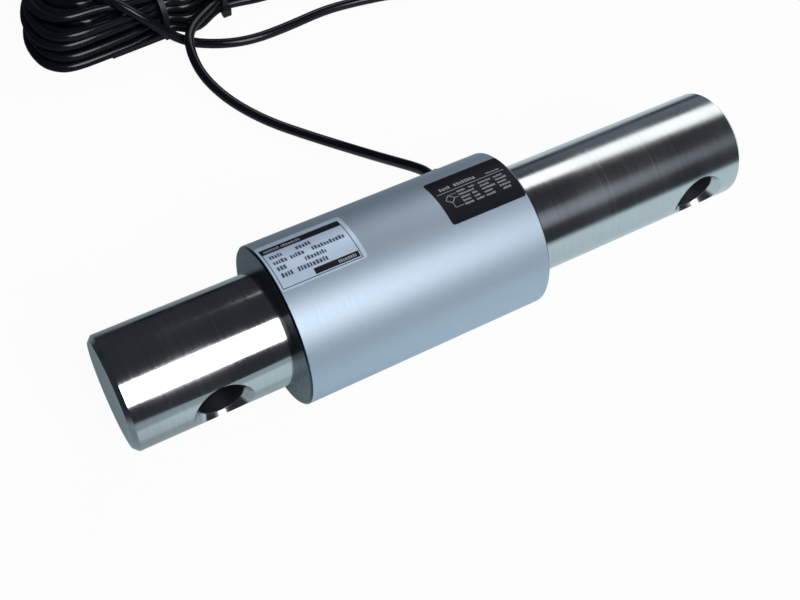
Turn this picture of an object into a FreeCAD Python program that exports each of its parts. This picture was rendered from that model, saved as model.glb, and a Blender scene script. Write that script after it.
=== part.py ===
import FreeCAD, Part
import math
import os
import re

import Sketcher
from FreeCAD import Placement, Rotation, Vector

# A round-bar shear beam load cell lying on its sleeve, in millimetres.
# X runs along the bar, Y along the cross holes and Z up from the surface that it lies on.
# X is 0 halfway along the bar, so the sleeve sits a little to the left of it.
SIZES = (
    ("bar_diameter", 50, "ground steel bar"),
    ("bar_chamfer", 2, "bevel round each end of the bar"),
    ("left_stub", 71, "bare bar to the left of the sleeve"),
    ("right_stub", 115, "bare bar to the right of the sleeve"),
    ("cross_hole_diameter", 20, "plain bore across each stub"),
    ("cross_hole_chamfer", 3.1, "countersink at both mouths of a cross hole, across"),
    ("cross_hole_chamfer_depth", 4.4, "the same countersink, along the hole"),
    ("left_hole_inset", 38, "left cross hole, from the left end"),
    ("right_hole_inset", 23.6, "right cross hole, from the right end"),
    ("sleeve_diameter", 71, "turned sleeve, outside"),
    ("sleeve_length", 115, "turned sleeve"),
    ("sleeve_chamfer", 0.8, "bevel of the sleeve's rims"),
    ("bore_clearance", 0.05, "radial gap between bar and sleeve lands"),
    ("left_land", 14, "close bore at the sleeve's left end"),
    ("right_land", 5.5, "close bore at the sleeve's right end"),
    ("sleeve_wall", 5.5, "sleeve's wall round the wiring chamber"),
    ("seal_inset", 2.75, "seal groove's middle, from the sleeve's end"),
    ("seal_groove_width", 2.2, "seal groove in the bar"),
    ("seal_groove_depth", 1.5, "seal groove in the bar"),
    ("pocket_diameter", 28, "gauge pockets above and below the web"),
    ("web_thickness", 10, "shear web between the pockets"),
    ("cover_ledge", 2, "ledge round a pocket that carries its cover"),
    ("cover_sink", 0.7, "ledge below the lowest edge of its cut"),
    ("cover_thickness", 1, "disc over a pocket"),
    ("cover_clearance", 0.1, "radial gap round a pocket's disc"),
    ("gauge_length", 12, "strain gauge film, along the bar"),
    ("gauge_width", 8, "strain gauge film, across the bar"),
    ("gauge_thickness", 0.15, "strain gauge film"),
    ("terminal_length", 6, "solder terminal, along the bar"),
    ("terminal_width", 3, "solder terminal, across the bar"),
    ("terminal_thickness", 0.5, "solder terminal"),
    ("terminal_gap", 1.5, "from gauge to terminal"),
    ("wire_hole_diameter", 6, "drilled way from a pocket to the back"),
    ("wire_hole_side", 10.6, "wire holes to each side of the gland's spoke"),
    ("wire_diameter", 0.7, "fine gauge wire"),
    ("wire_pitch", 0.8, "from wire to wire"),
    ("wire_landing", 2, "wires on the board, from its end"),
    ("top_wire_landing", -0.2, "upper wires on the board, to the side"),
    ("bottom_wire_landing", -3.6, "lower wires on the board, to the side"),
    ("board_length", 22, "bridge board, along the bar"),
    ("board_width", 12, "bridge board, across"),
    ("board_thickness", 1, "bridge board"),
    ("board_margin", 1, "flat beyond the wire holes"),
    ("board_flat_reach", 4, "flat beyond the gland's axis"),
    ("board_flat_depth", 3, "flat under the board, into the bar"),
    ("board_setback", 4, "from the gland's axis to the board"),
    ("pad_thickness", 0.3, "insulating pad under the board"),
    ("resistor_length", 3.2, "trim resistor, across the board"),
    ("resistor_width", 1.6, "trim resistor, along the board"),
    ("resistor_height", 0.6, "trim resistor"),
    ("resistor_pitch", 2.6, "from resistor to resistor"),
    ("board_screw_diameter", 2, "board screw's shank"),
    ("board_screw_depth", 3, "board screw in the bar"),
    ("board_screw_head", 3.6, "board screw's head across"),
    ("board_screw_head_height", 1.2, "board screw's head"),
    ("board_screw_inset", 2.5, "board screw from a long edge of the board"),
    ("board_screw_along", 6, "board screw from an end of the board"),
    ("gland_inset", 10.5, "gland's axis from the sleeve's right end"),
    ("gland_angle", 10, "degrees that the gland points below level"),
    ("gland_thread", 10, "gland's thread in the sleeve"),
    ("thread_clearance", 0.05, "radial gap of a screwed joint"),
    ("gland_spot_diameter", 15, "flat spot under the gland"),
    ("gland_spot_depth", 0.8, "flat spot below the sleeve's crown"),
    ("gasket_diameter", 12.6, "sealing ring under the gland"),
    ("gasket_thickness", 0.8, "sealing ring under the gland"),
    ("gland_hex", 11, "gland across its flats"),
    ("gland_flange", 2.5, "gland's hexagon flange"),
    ("gland_spigot_diameter", 8.5, "threaded neck under the nut"),
    ("gland_spigot", 3.4, "threaded neck above the flange"),
    ("gland_seal_diameter", 7, "rubber bush in the neck"),
    ("gland_seal_sink", 0.8, "bush below the flange's top"),
    ("gland_seal_proud", 0.3, "bush above the neck"),
    ("nut_gap", 0.3, "open thread between flange and nut"),
    ("nut_length", 5.4, "gland nut"),
    ("nut_chamfer", 0.7, "bevel of hexagon corners"),
    ("nut_mouth_clearance", 0.5, "radial gap between nut and cable"),
    ("cable_diameter", 5, "cable jacket"),
    ("cable_clearance", 0.1, "radial gap between cable and gland"),
    ("core_diameter", 1.2, "insulated core of the cable"),
    ("core_pitch", 1.5, "from core to core in the cable"),
    ("cable_stop", 1, "jacket's end, from the sleeve's inside"),
    ("cable_exit", 10.3, "straight cable past the gland nut"),
    ("near_core_landing", 2.5, "two cores on the board, from its end"),
    ("far_core_landing", 6, "the other two cores on the board, from its end"),
    ("screw_diameter", 4, "grub screw"),
    ("screw_sink", 2.5, "grub screw below the sleeve's surface"),
    ("screw_point", 2.4, "flat point of a grub screw"),
    ("screw_socket", 2, "grub screw's hexagon socket"),
    ("screw_socket_depth", 2.2, "grub screw's hexagon socket"),
    ("screw_inset", 9, "grub screws from the sleeve's left end"),
    ("screw_spacing", 120, "degrees between the grub screws"),
    ("label_thickness", 0.15, "both labels"),
    ("label_corner", 1.4, "both labels' rounded corners"),
    ("rating_label_length", 38.3, "silver label, along the sleeve"),
    ("rating_label_width", 27, "silver label, round the sleeve"),
    ("rating_label_inset", 0.9, "silver label from the sleeve's left end"),
    ("rating_label_tilt", 10.5, "degrees behind the top"),
    ("wiring_label_length", 36, "black label, along the sleeve"),
    ("wiring_label_width", 25.6, "black label, round the sleeve"),
    ("wiring_label_inset", 0.9, "black label from the sleeve's right end"),
    ("wiring_label_tilt", 6.8, "degrees behind the top"),
    ("hank_x", 1.7, "middle of the hank"),
    ("hank_y", 238, "middle of the hank"),
    ("hank_turn", 4, "degrees that the hank is turned"),
    ("hank_length", 220, "hank of cable"),
    ("hank_width", 66, "hank of cable"),
    ("hank_height", 24, "hank of cable"),
    ("hank_window", 4, "gap between the bundles of strands on its two long sides"),
    ("hank_near_corner", 17, "outer corners on the load cell's side, from above"),
    ("hank_far_corner", 36, "outer corners on the far side, from above"),
    ("hank_crest", 3, "flat left on top of a bundle between its rounded upper edges"),
    ("hank_foot", 2, "rounding of the lower edges"),
    ("tie_width", 3, "strap of a hank tie"),
    ("tie_thickness", 1.1, "strap of a hank tie"),
    ("tie_sink", 0.3, "strap pulled into the hank"),
    ("tie_foot", 0.8, "rounding of a strap's lower corners"),
    ("tie_head", 4.6, "lock of a hank tie"),
    ("tie_head_out", 2.2, "lock of a hank tie, out from the strap"),
    ("tie_head_low", 0.8, "lock of a hank tie, above the surface"),
    ("tie_tail", 30, "loose end of the left tie, past its lock"),
    ("left_tie_along", -44, "left tie from the hank's middle"),
    ("right_tie_along", -10, "right tie from the hank's middle"),
    ("shrink_length", 12, "shrunk tube on the cable's end"),
    ("shrink_overlap", 8, "shrunk tube on the jacket"),
    ("shrink_wall", 0.5, "shrunk tube on the cable's end"),
    ("lead_tip_length", 6, "bared end of a lead"),
    ("lead_tip_diameter", 0.8, "bared end of a lead and drain wire"),
    ("lead_straight", 5, "leads straight out of the jacket"),
)
NAMES = {name for name, number, note in SIZES}

# The cable's route, chosen by hand: from the gland down to the surface and into the hank.
RUN_POINTS = (
    (17.5, 72, 13.5), (9.5, 91, 4.4), (-6.5, 111, 2.5), (-20, 128, 2.5), (-30.8, 147.5, 2.8),
    (-38.3, 164.5, 6), (-39.6, 180.5, 10.6), (-34.8, 195.8, 11.2), (-19, 205.3, 9.8), (1, 214.5, 9),
)
# The loose end: over the hank, down to the surface and away to its stripped leads.
TAIL_POINTS = (
    (-92, 240, 26.6), (-82, 229, 26.8), (-69.8, 217.5, 28.5), (-55.6, 201.9, 23.5), (-36.5, 195, 2.5),
    (-21, 185.2, 2.5), (-3, 180.2, 2.5), (19, 181.2, 2.5), (43, 184.2, 2.5), (65, 182.2, 2.5),
    (84, 178.4, 3), (100, 176, 3.05),
)
# Each lead past the cable's end: steps along X and Y from that end, and heights.
LEAD_STEPS = {
    "lead_red": ((15, -5.2, 1.2), (26, -11, 0.65), (37, -19, 0.65)),
    "lead_black": ((15, -3.4, 2.4), (26, -6.4, 0.9), (38, -10, 0.65)),
    "lead_green": ((15, 0, 1.2), (26, 2.8, 0.65), (38, 6.6, 0.65)),
    "lead_white": ((15, 1.6, 2.4), (25, 7, 0.9), (35, 14.5, 0.65)),
}
DRAIN_STEPS = ((15, -1.8, 1.8), (26, -1.6, 0.5), (36, -0.8, 0.45))

BAR_RADIUS = "bar_diameter / 2"
SLEEVE_RADIUS = "sleeve_diameter / 2"
AXIS_HEIGHT = SLEEVE_RADIUS
CHAMBER_RADIUS = "(sleeve_diameter / 2 - sleeve_wall)"
LAND_RADIUS = f"({BAR_RADIUS} + bore_clearance)"
BAR_LEFT = "-(left_stub + sleeve_length + right_stub) / 2"
BAR_RIGHT = "(left_stub + sleeve_length + right_stub) / 2"
SLEEVE_LEFT = f"({BAR_LEFT} + left_stub)"
SLEEVE_RIGHT = f"({BAR_RIGHT} - right_stub)"
SLEEVE_MIDDLE = "(left_stub - right_stub) / 2"
GLAND_ALONG = f"({SLEEVE_RIGHT} - gland_inset)"
SCREW_ALONG = f"({SLEEVE_LEFT} + screw_inset)"
SPOT_OUT = f"({SLEEVE_RADIUS} - gland_spot_depth)"
FLANGE_OUT = f"({SPOT_OUT} + gasket_thickness)"
NECK_OUT = f"({FLANGE_OUT} + gland_flange)"
NECK_END = f"({NECK_OUT} + gland_spigot)"
SEAL_FLOOR = f"({NECK_OUT} - gland_seal_sink)"
SEAL_END = f"({NECK_END} + gland_seal_proud)"
NUT_OUT = f"({NECK_OUT} + nut_gap)"
NUT_END = f"({NUT_OUT} + nut_length)"
HEX_CORNER = "gland_hex / sqrt(3)"
SEAT_RADIUS = "(pocket_diameter / 2 + cover_ledge)"
SEAT_HEIGHT = f"(sqrt(({BAR_RADIUS}) ^ 2 - {SEAT_RADIUS} ^ 2) - cover_sink)"
FLAT_OUT = f"({BAR_RADIUS} - board_flat_depth)"
BOARD_OUT = f"({FLAT_OUT} + pad_thickness)"
BOARD_TOP = f"({BOARD_OUT} + board_thickness)"
BOARD_RIGHT = f"({GLAND_ALONG} - board_setback)"
BOARD_LEFT = f"({BOARD_RIGHT} - board_length)"

doc = FreeCAD.newDocument("shear_beam_load_cell")
sheet = doc.addObject("Spreadsheet::Sheet", "Sizes")
for row, (name, number, note) in enumerate(SIZES, start=1):
    sheet.set(f"A{row}", note)
    sheet.set(f"B{row}", str(number))
    sheet.setAlias(f"B{row}", name)
doc.recompute()
pieces = []


def size(name):
    """A size as a number, for the pieces that are drawn from points."""
    return float(getattr(sheet, name))


def formula(text):
    """A size formula as an expression that looks its names up in the sheet."""
    return re.sub(r"[a-z_]+", lambda word: f"Sizes.{word[0]}" if word[0] in NAMES else word[0], text)


def bind(thing, formulas):
    """Tie properties of a thing to size formulas."""
    for path, text in formulas.items():
        thing.setExpression(path, formula(text))


def finished(thing, label):
    """Name a thing as one of the sub-parts that are written out."""
    thing.Label = label
    pieces.append(thing)
    return thing


def new_sketch(body, name, role):
    """An empty sketch on one of a body's own origin planes."""
    sketch = body.newObject("Sketcher::SketchObject", name)
    plane = next(item for item in body.Origin.OriginFeatures if item.Role == role)
    sketch.AttachmentSupport = [(plane, "")]
    sketch.MapMode = "FlatFace"
    return sketch


def draw_outline(sketch, corners):
    """Close a loop of straight lines and hold each corner at its two formulas."""
    first = sketch.GeometryCount
    count = len(corners)
    turns = [math.tau * index / count for index in range(count)]
    rough = [Vector(math.cos(turn), math.sin(turn), 0) for turn in turns]
    for index in range(count):
        sketch.addGeometry(Part.LineSegment(rough[index], rough[(index + 1) % count]), False)
    for index in range(count):
        after = first + (index + 1) % count
        sketch.addConstraint(Sketcher.Constraint("Coincident", first + index, 2, after, 1))
    for index, (across, up) in enumerate(corners):
        for kind, text, start in (("DistanceX", across, rough[index].x), ("DistanceY", up, rough[index].y)):
            held = sketch.addConstraint(Sketcher.Constraint(kind, -1, 1, first + index, 1, start))
            sketch.setExpression(f"Constraints[{held}]", formula(text))


def rectangle(left, right, low, high):
    """The corners of an upright rectangle."""
    return [(left, low), (right, low), (right, high), (left, high)]


def revolve(body, sketch, kind="Revolution", axis="H_Axis"):
    """Turn a sketch all the way round one of its own axes."""
    feature = body.newObject(f"PartDesign::{kind}", f"{sketch.Name}_turn")
    feature.Profile = sketch
    feature.ReferenceAxis = (sketch, [axis])
    feature.Angle = 360
    return feature


def turned(name, corners):
    """A body turned about its local X axis from a half section."""
    body = doc.addObject("PartDesign::Body", name)
    sketch = new_sketch(body, f"{name}_section", "XY_Plane")
    draw_outline(sketch, corners)
    revolve(body, sketch)
    return body


def on_axis(thing):
    """Raise a thing that is drawn about the bar's axis to that axis."""
    bind(thing, {"Placement.Base.z": AXIS_HEIGHT})
    return thing


def on_spoke(thing, along, out="0", side="0", angle="gland_angle", heading="90"):
    """Stand a thing on a spoke of the bar: local X points outward and local Z to the side.

    The heading is 90 for a spoke at the back and -90 for one at the front.
    """
    bind(thing, {
        "Placement.Base.x": along,
        "Placement.Base.y": f"({out}) * cos({angle}) + ({side}) * sin({angle})",
        "Placement.Base.z": f"{AXIS_HEIGHT} - ({out}) * sin({angle}) + ({side}) * cos({angle})",
        "Placement.Rotation.Yaw": heading,
        "Placement.Rotation.Pitch": angle,
    })
    return thing


def box(name, length, width, height):
    """A box with one corner at its own origin."""
    block = doc.addObject("Part::Box", name)
    bind(block, {"Length": length, "Width": width, "Height": height})
    return block


def spoke_block(name, along, low, high, width, side="0"):
    """A box on the gland's spoke: from low to high outward, and from left to right along the bar."""
    left, right = along
    block = box(name, f"({high}) - ({low})", f"({right}) - ({left})", width)
    return on_spoke(block, right, low, f"({side}) - ({width}) / 2")


def cut(name, base, tools):
    """Take one or more tools away from a base."""
    tool = tools[0]
    if len(tools) > 1:
        tool = doc.addObject("Part::MultiFuse", f"{name}_tools")
        tool.Shapes = tools
    result = doc.addObject("Part::Cut", name)
    result.Base = base
    result.Tool = tool
    return result


def group(name, members):
    """Several separate solids as one sub-part."""
    together = doc.addObject("Part::Compound", name)
    together.Links = members
    return together


def hexagon(across):
    """The corners of a hexagon with a flat on each side."""
    half = f"({across}) / 2"
    corner = f"({across}) / sqrt(3)"
    right = [(half, f"-{corner} / 2"), (half, f"{corner} / 2"), ("0", corner)]
    left = [(f"-{half}", f"{corner} / 2"), (f"-{half}", f"-{corner} / 2"), ("0", f"-{corner}")]
    return right + left


def hexagon_sketch(body, name, out, across):
    """A hexagon across the local X axis, at a distance along it."""
    sketch = new_sketch(body, name, "YZ_Plane")
    bind(sketch, {"AttachmentOffset.Base.z": out})
    draw_outline(sketch, hexagon(across))
    return sketch


def trim_to_hexagon(body, out, across):
    """Mill six flats on a turned body, from its outer end inward."""
    sketch = hexagon_sketch(body, f"{body.Name}_flats", out, across)
    ring = sketch.addGeometry(Part.Circle(Vector(), Vector(0, 0, 1), 1), False)
    sketch.addConstraint(Sketcher.Constraint("Coincident", ring, 3, -1, 1))
    held = sketch.addConstraint(Sketcher.Constraint("Radius", ring, 1))
    sketch.setExpression(f"Constraints[{held}]", formula(across))
    pocket = body.newObject("PartDesign::Pocket", f"{body.Name}_milling")
    pocket.Profile = sketch
    pocket.Type = "ThroughAll"


def spoke_point(along, out, side):
    """A point on the gland's spoke, for wires that are drawn from points."""
    angle = math.radians(size("gland_angle"))
    across = out * math.cos(angle) + side * math.sin(angle)
    up = size("sleeve_diameter") / 2 - out * math.sin(angle) + side * math.cos(angle)
    return Vector(along, across, up)


def rounded_route(points):
    """Straight runs joined by tangent arcs, each as large as its two runs allow."""
    share_of_run = 0.45
    edges = []
    radii = []
    start = points[0]
    for before, corner, after in zip(points, points[1:], points[2:]):
        back = before - corner
        ahead = after - corner
        half_turn = (math.pi - back.getAngle(ahead)) / 2
        reach = share_of_run * min(back.Length, ahead.Length)
        radius = reach / math.tan(half_turn)
        back.normalize()
        ahead.normalize()
        inward = back + ahead
        inward.normalize()
        entry = corner + back * reach
        leave = corner + ahead * reach
        nearest = corner + inward * (radius / math.cos(half_turn) - radius)
        edges.append(Part.LineSegment(start, entry).toShape())
        edges.append(Part.Arc(entry, nearest, leave).toShape())
        radii.append(radius)
        start = leave
    edges.append(Part.LineSegment(start, points[-1]).toShape())
    return Part.Wire(edges), radii


def tube(label, points, diameter):
    """A round cord along a route, with its volume compared with section times length."""
    route, radii = rounded_route(points)
    ring = Part.Circle(points[0], points[1] - points[0], diameter / 2).toShape()
    solid = route.makePipeShell([Part.Wire(ring)], True, False)
    expected = math.pi * diameter ** 2 / 4 * route.Length
    if abs(solid.Volume / expected - 1) > 0.002:
        raise RuntimeError(f"{label}: volume {solid.Volume:.1f}, expected {expected:.1f}")
    listed = " ".join(f"{radius:.1f}" for radius in radii)
    print(f"{label}: length {route.Length:.1f}, radii {listed}")
    feature = doc.addObject("Part::Feature", label)
    feature.Shape = solid
    return feature


def edges_where(feature, test):
    """The names of the edges of a feature whose box passes a test."""
    boxes = [edge.BoundBox for edge in feature.Shape.Edges]
    return [f"Edge{index}" for index, bounds in enumerate(boxes, start=1) if test(bounds)]


def fillet(body, feature, name, radius, test):
    """Round the edges of a body's feature that pass a test."""
    doc.recompute()
    rounding = body.newObject("PartDesign::Fillet", f"{body.Name}_{name}")
    rounding.Base = (feature, edges_where(feature, test))
    bind(rounding, {"Radius": radius})
    doc.recompute()
    return rounding


def make_beam():
    """The bar: turned, cross drilled, pocketed down to a shear web and milled flat for the board."""
    groove_floor = f"{BAR_RADIUS} - seal_groove_depth"
    outline = [(BAR_LEFT, "0"), (BAR_LEFT, f"{BAR_RADIUS} - bar_chamfer"),
               (f"{BAR_LEFT} + bar_chamfer", BAR_RADIUS)]
    for middle in (f"{SLEEVE_LEFT} + seal_inset", f"{SLEEVE_RIGHT} - seal_inset"):
        left = f"{middle} - seal_groove_width / 2"
        right = f"{middle} + seal_groove_width / 2"
        outline += [(left, BAR_RADIUS), (left, groove_floor), (right, groove_floor), (right, BAR_RADIUS)]
    outline += [(f"{BAR_RIGHT} - bar_chamfer", BAR_RADIUS),
                (BAR_RIGHT, f"{BAR_RADIUS} - bar_chamfer"), (BAR_RIGHT, "0")]
    body = turned("beam_blank", outline)

    hole = "cross_hole_diameter / 2"
    wide = f"{hole} + 2 * cross_hole_chamfer"
    beyond = f"({BAR_RADIUS} + cross_hole_chamfer_depth)"
    mouth = f"({BAR_RADIUS} - cross_hole_chamfer_depth)"
    for side, along in (("left", f"{BAR_LEFT} + left_hole_inset"),
                        ("right", f"{BAR_RIGHT} - right_hole_inset")):
        sketch = new_sketch(body, f"{side}_cross_hole", "XY_Plane")
        bind(sketch, {"AttachmentOffset.Base.x": along})
        draw_outline(sketch, [("0", f"-{beyond}"), (wide, f"-{beyond}"), (hole, f"-{mouth}"),
                              (hole, mouth), (wide, beyond), ("0", beyond)])
        revolve(body, sketch, "Groove", "V_Axis")

    sketch = new_sketch(body, "gauge_pocket", "XZ_Plane")
    bind(sketch, {"AttachmentOffset.Base.x": SLEEVE_MIDDLE})
    pocket = "pocket_diameter / 2"
    web = "web_thickness / 2"
    draw_outline(sketch, [("0", web), (pocket, web), (pocket, SEAT_HEIGHT), (SEAT_RADIUS, SEAT_HEIGHT),
                          (SEAT_RADIUS, BAR_RADIUS), ("0", BAR_RADIUS)])
    upper = revolve(body, sketch, "Groove", "V_Axis")
    lower = body.newObject("PartDesign::Mirrored", "gauge_pocket_below")
    lower.Originals = [upper]
    mirror_plane = next(item for item in body.Origin.OriginFeatures if item.Role == "XY_Plane")
    lower.MirrorPlane = (mirror_plane, [""])
    body.Tip = lower
    on_axis(body)

    flat_left = f"({SLEEVE_MIDDLE} - wire_hole_diameter / 2 - board_margin)"
    tools = [spoke_block("board_flat", (flat_left, f"{GLAND_ALONG} + board_flat_reach"),
                         FLAT_OUT, BAR_RADIUS, "bar_diameter")]
    for name, along, side in board_screw_places():
        tools.append(turned(f"{name}_hole", rectangle(
            f"{FLAT_OUT} - board_screw_depth", FLAT_OUT, "0", "board_screw_diameter / 2 + thread_clearance")))
        on_spoke(tools[-1], along, "0", side)
    for name, side in (("upper", "wire_hole_side"), ("lower", "-wire_hole_side")):
        hole = turned(f"{name}_wire_hole", rectangle("0", BAR_RADIUS, "0", "wire_hole_diameter / 2"))
        tools.append(on_spoke(hole, SLEEVE_MIDDLE, "0", side))
    finished(cut("beam_cut", body, tools), "beam")


def make_sleeve():
    """The sleeve: a turned tube with close lands, a wiring chamber, a gland seat and grub screw holes."""
    rim = f"{SLEEVE_RADIUS} - sleeve_chamfer"
    chamber_left = f"{SLEEVE_LEFT} + left_land"
    chamber_right = f"{SLEEVE_RIGHT} - right_land"
    body = on_axis(turned("sleeve_blank", [
        (SLEEVE_LEFT, LAND_RADIUS), (SLEEVE_LEFT, rim), (f"{SLEEVE_LEFT} + sleeve_chamfer", SLEEVE_RADIUS),
        (f"{SLEEVE_RIGHT} - sleeve_chamfer", SLEEVE_RADIUS), (SLEEVE_RIGHT, rim), (SLEEVE_RIGHT, LAND_RADIUS),
        (chamber_right, LAND_RADIUS), (chamber_right, CHAMBER_RADIUS),
        (chamber_left, CHAMBER_RADIUS), (chamber_left, LAND_RADIUS)]))
    thread = "gland_thread / 2 + thread_clearance"
    spot = "gland_spot_diameter / 2"
    beyond = f"{SLEEVE_RADIUS} + gland_flange"
    gland_hole = on_spoke(turned("gland_hole", [
        (BAR_RADIUS, "0"), (beyond, "0"), (beyond, spot), (SPOT_OUT, spot), (SPOT_OUT, thread),
        (BAR_RADIUS, thread)]), GLAND_ALONG)
    tools = [gland_hole]
    screw_hole = rectangle(BAR_RADIUS, beyond, "0", "screw_diameter / 2 + thread_clearance")
    for name, angle, heading in grub_screw_spokes():
        hole = turned(f"{name}_hole", screw_hole)
        tools.append(on_spoke(hole, SCREW_ALONG, angle=angle, heading=heading))
    finished(cut("sleeve_cut", body, tools), "sleeve")


def make_seals():
    """An O-ring in each groove of the bar, squeezed by the sleeve's land."""
    section = "(seal_groove_depth + bore_clearance) / 2"
    for label, along in (("left_seal", f"{SLEEVE_LEFT} + seal_inset"),
                         ("right_seal", f"{SLEEVE_RIGHT} - seal_inset")):
        ring = doc.addObject("Part::Torus", label)
        ring.Placement = Placement(Vector(), Rotation(0, 90, 0))
        bind(ring, {"Radius1": f"{BAR_RADIUS} - seal_groove_depth + {section}", "Radius2": section,
                    "Placement.Base.x": along})
        finished(on_axis(ring), label)


def grub_screw_spokes():
    """The grub screws' spokes: one on the gland's line at the back, one low at the front."""
    return (("set_screw_back", "gland_angle", "90"),
            ("set_screw_low", "(180 - gland_angle - screw_spacing)", "-90"))


def make_grub_screws():
    """Two socket grub screws that lock the sleeve on the bar."""
    radius = "screw_diameter / 2"
    point = "screw_point / 2"
    end = f"({SLEEVE_RADIUS} - screw_sink)"
    for label, angle, heading in grub_screw_spokes():
        body = turned(label, [(BAR_RADIUS, "0"), (end, "0"), (end, radius),
                              (f"{BAR_RADIUS} + {radius} - {point}", radius), (BAR_RADIUS, point)])
        socket = body.newObject("PartDesign::Pocket", f"{label}_socket")
        socket.Profile = hexagon_sketch(body, f"{label}_hexagon", end, "screw_socket")
        bind(socket, {"Length": "screw_socket_depth"})
        finished(on_spoke(body, SCREW_ALONG, angle=angle, heading=heading), label)


def make_gauges():
    """On each face of the web: a gauge film, its solder terminal, and the pocket's disc."""
    middle = f"({SLEEVE_MIDDLE})"
    seat = f"({AXIS_HEIGHT} + {SEAT_HEIGHT})"
    face = f"({AXIS_HEIGHT} + web_thickness / 2)"
    terminal_near = "(gauge_width / 2 + terminal_gap)"
    for place in ("top", "bottom"):
        def level(height, thickness):
            return height if place == "top" else f"2 * {AXIS_HEIGHT} - {height} - {thickness}"

        film = box(f"gauge_{place}", "gauge_length", "gauge_width", "gauge_thickness")
        bind(film, {"Placement.Base.x": f"{middle} - gauge_length / 2",
                    "Placement.Base.y": "-gauge_width / 2",
                    "Placement.Base.z": level(face, "gauge_thickness")})
        finished(film, f"gauge_{place}")
        strip = box(f"terminal_{place}", "terminal_length", "terminal_width", "terminal_thickness")
        bind(strip, {"Placement.Base.x": f"{middle} - terminal_length / 2", "Placement.Base.y": terminal_near,
                     "Placement.Base.z": level(face, "terminal_thickness")})
        finished(strip, f"terminal_{place}")
        disc = doc.addObject("Part::Cylinder", f"pocket_cover_{place}")
        bind(disc, {"Radius": f"{SEAT_RADIUS} - cover_clearance", "Height": "cover_thickness",
                    "Placement.Base.x": middle, "Placement.Base.z": level(seat, "cover_thickness")})
        finished(disc, f"pocket_cover_{place}")


def board_screw_places():
    """The board's two screws, beside its resistors: name, place along the bar, and side."""
    side = "(board_width / 2 - board_screw_inset)"
    return (("board_screw_left", f"{BOARD_LEFT} + board_screw_along", side),
            ("board_screw_right", f"{BOARD_RIGHT} - board_screw_along", f"-{side}"))


def make_board():
    """The bridge board on its pad on the bar's flat, with its trim resistors and screws."""
    span = (BOARD_LEFT, BOARD_RIGHT)
    holes = []
    screws = []
    shank = "board_screw_diameter / 2"
    head = "board_screw_head / 2"
    head_top = f"{BOARD_TOP} + board_screw_head_height"
    tip = f"{FLAT_OUT} - board_screw_depth"
    for name, along, side in board_screw_places():
        clear = turned(f"{name}_clear", rectangle(FLAT_OUT, head_top, "0", f"{shank} + thread_clearance"))
        holes.append(on_spoke(clear, along, "0", side))
        screw = turned(name, [(tip, "0"), (head_top, "0"), (head_top, head), (BOARD_TOP, head),
                              (BOARD_TOP, shank), (tip, shank)])
        screws.append(on_spoke(screw, along, "0", side))
    pad = spoke_block("pad_blank", span, FLAT_OUT, BOARD_OUT, "board_width")
    board = spoke_block("board_blank", span, BOARD_OUT, BOARD_TOP, "board_width")
    finished(cut("pad_cut", pad, holes), "board_pad")
    finished(cut("board_cut", board, holes), "bridge_board")
    finished(group("board_screw_pair", screws), "board_screws")
    middle = f"({BOARD_LEFT} + board_length / 2)"
    chips = []
    for step in (-1.5, -0.5, 0.5, 1.5):
        chip_middle = f"{middle} + {step} * resistor_pitch"
        chips.append(spoke_block(f"resistor_{len(chips)}", (f"{chip_middle} - resistor_width / 2",
                                                            f"{chip_middle} + resistor_width / 2"),
                                 BOARD_TOP, f"{BOARD_TOP} + resistor_height", "resistor_length"))
    finished(group("resistor_row", chips), "trim_resistors")


def make_gauge_wires():
    """Three fine wires from each terminal, through its wire hole and along the bar's flat to the board."""
    middle = (size("left_stub") - size("right_stub")) / 2
    axis = size("sleeve_diameter") / 2
    radius = size("wire_diameter") / 2
    board_left = board_right_edge() - size("board_length")
    terminal_middle = size("gauge_width") / 2 + size("terminal_gap") + size("terminal_width") / 2
    start_up = size("web_thickness") / 2 + size("terminal_thickness") + radius
    enter = size("pocket_diameter") / 2 - size("wire_hole_diameter") / 2
    run = board_top() + radius
    for place, way in (("top", 1), ("bottom", -1)):
        wires = []
        for step in (-1, 0, 1):
            shift = step * size("wire_pitch")
            along = middle + shift
            hole = way * (size("wire_hole_side") + shift)
            landing = size(f"{place}_wire_landing") + way * shift
            beside = landing + way * size("board_setback")
            points = [Vector(along, terminal_middle, axis + way * start_up),
                      spoke_point(along, enter, hole),
                      spoke_point(along, run, hole),
                      spoke_point(board_left - size("board_setback"), run, beside),
                      spoke_point(board_left + size("wire_landing"), run, landing)]
            wires.append(tube(f"gauge_wire_{place}_{step + 2}", points, size("wire_diameter")))
        finished(group(f"gauge_wire_bundle_{place}", wires), f"gauge_wires_{place}")


def board_top():
    """The board's outer face, from the bar's axis."""
    flat = size("bar_diameter") / 2 - size("board_flat_depth")
    return flat + size("pad_thickness") + size("board_thickness")


def chamber_radius():
    """The sleeve's inside round the wiring."""
    return size("sleeve_diameter") / 2 - size("sleeve_wall")


def board_right_edge():
    """The board's end beside the gland."""
    sleeve_right = (size("left_stub") + size("sleeve_length") - size("right_stub")) / 2
    return sleeve_right - size("gland_inset") - size("board_setback")


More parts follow.
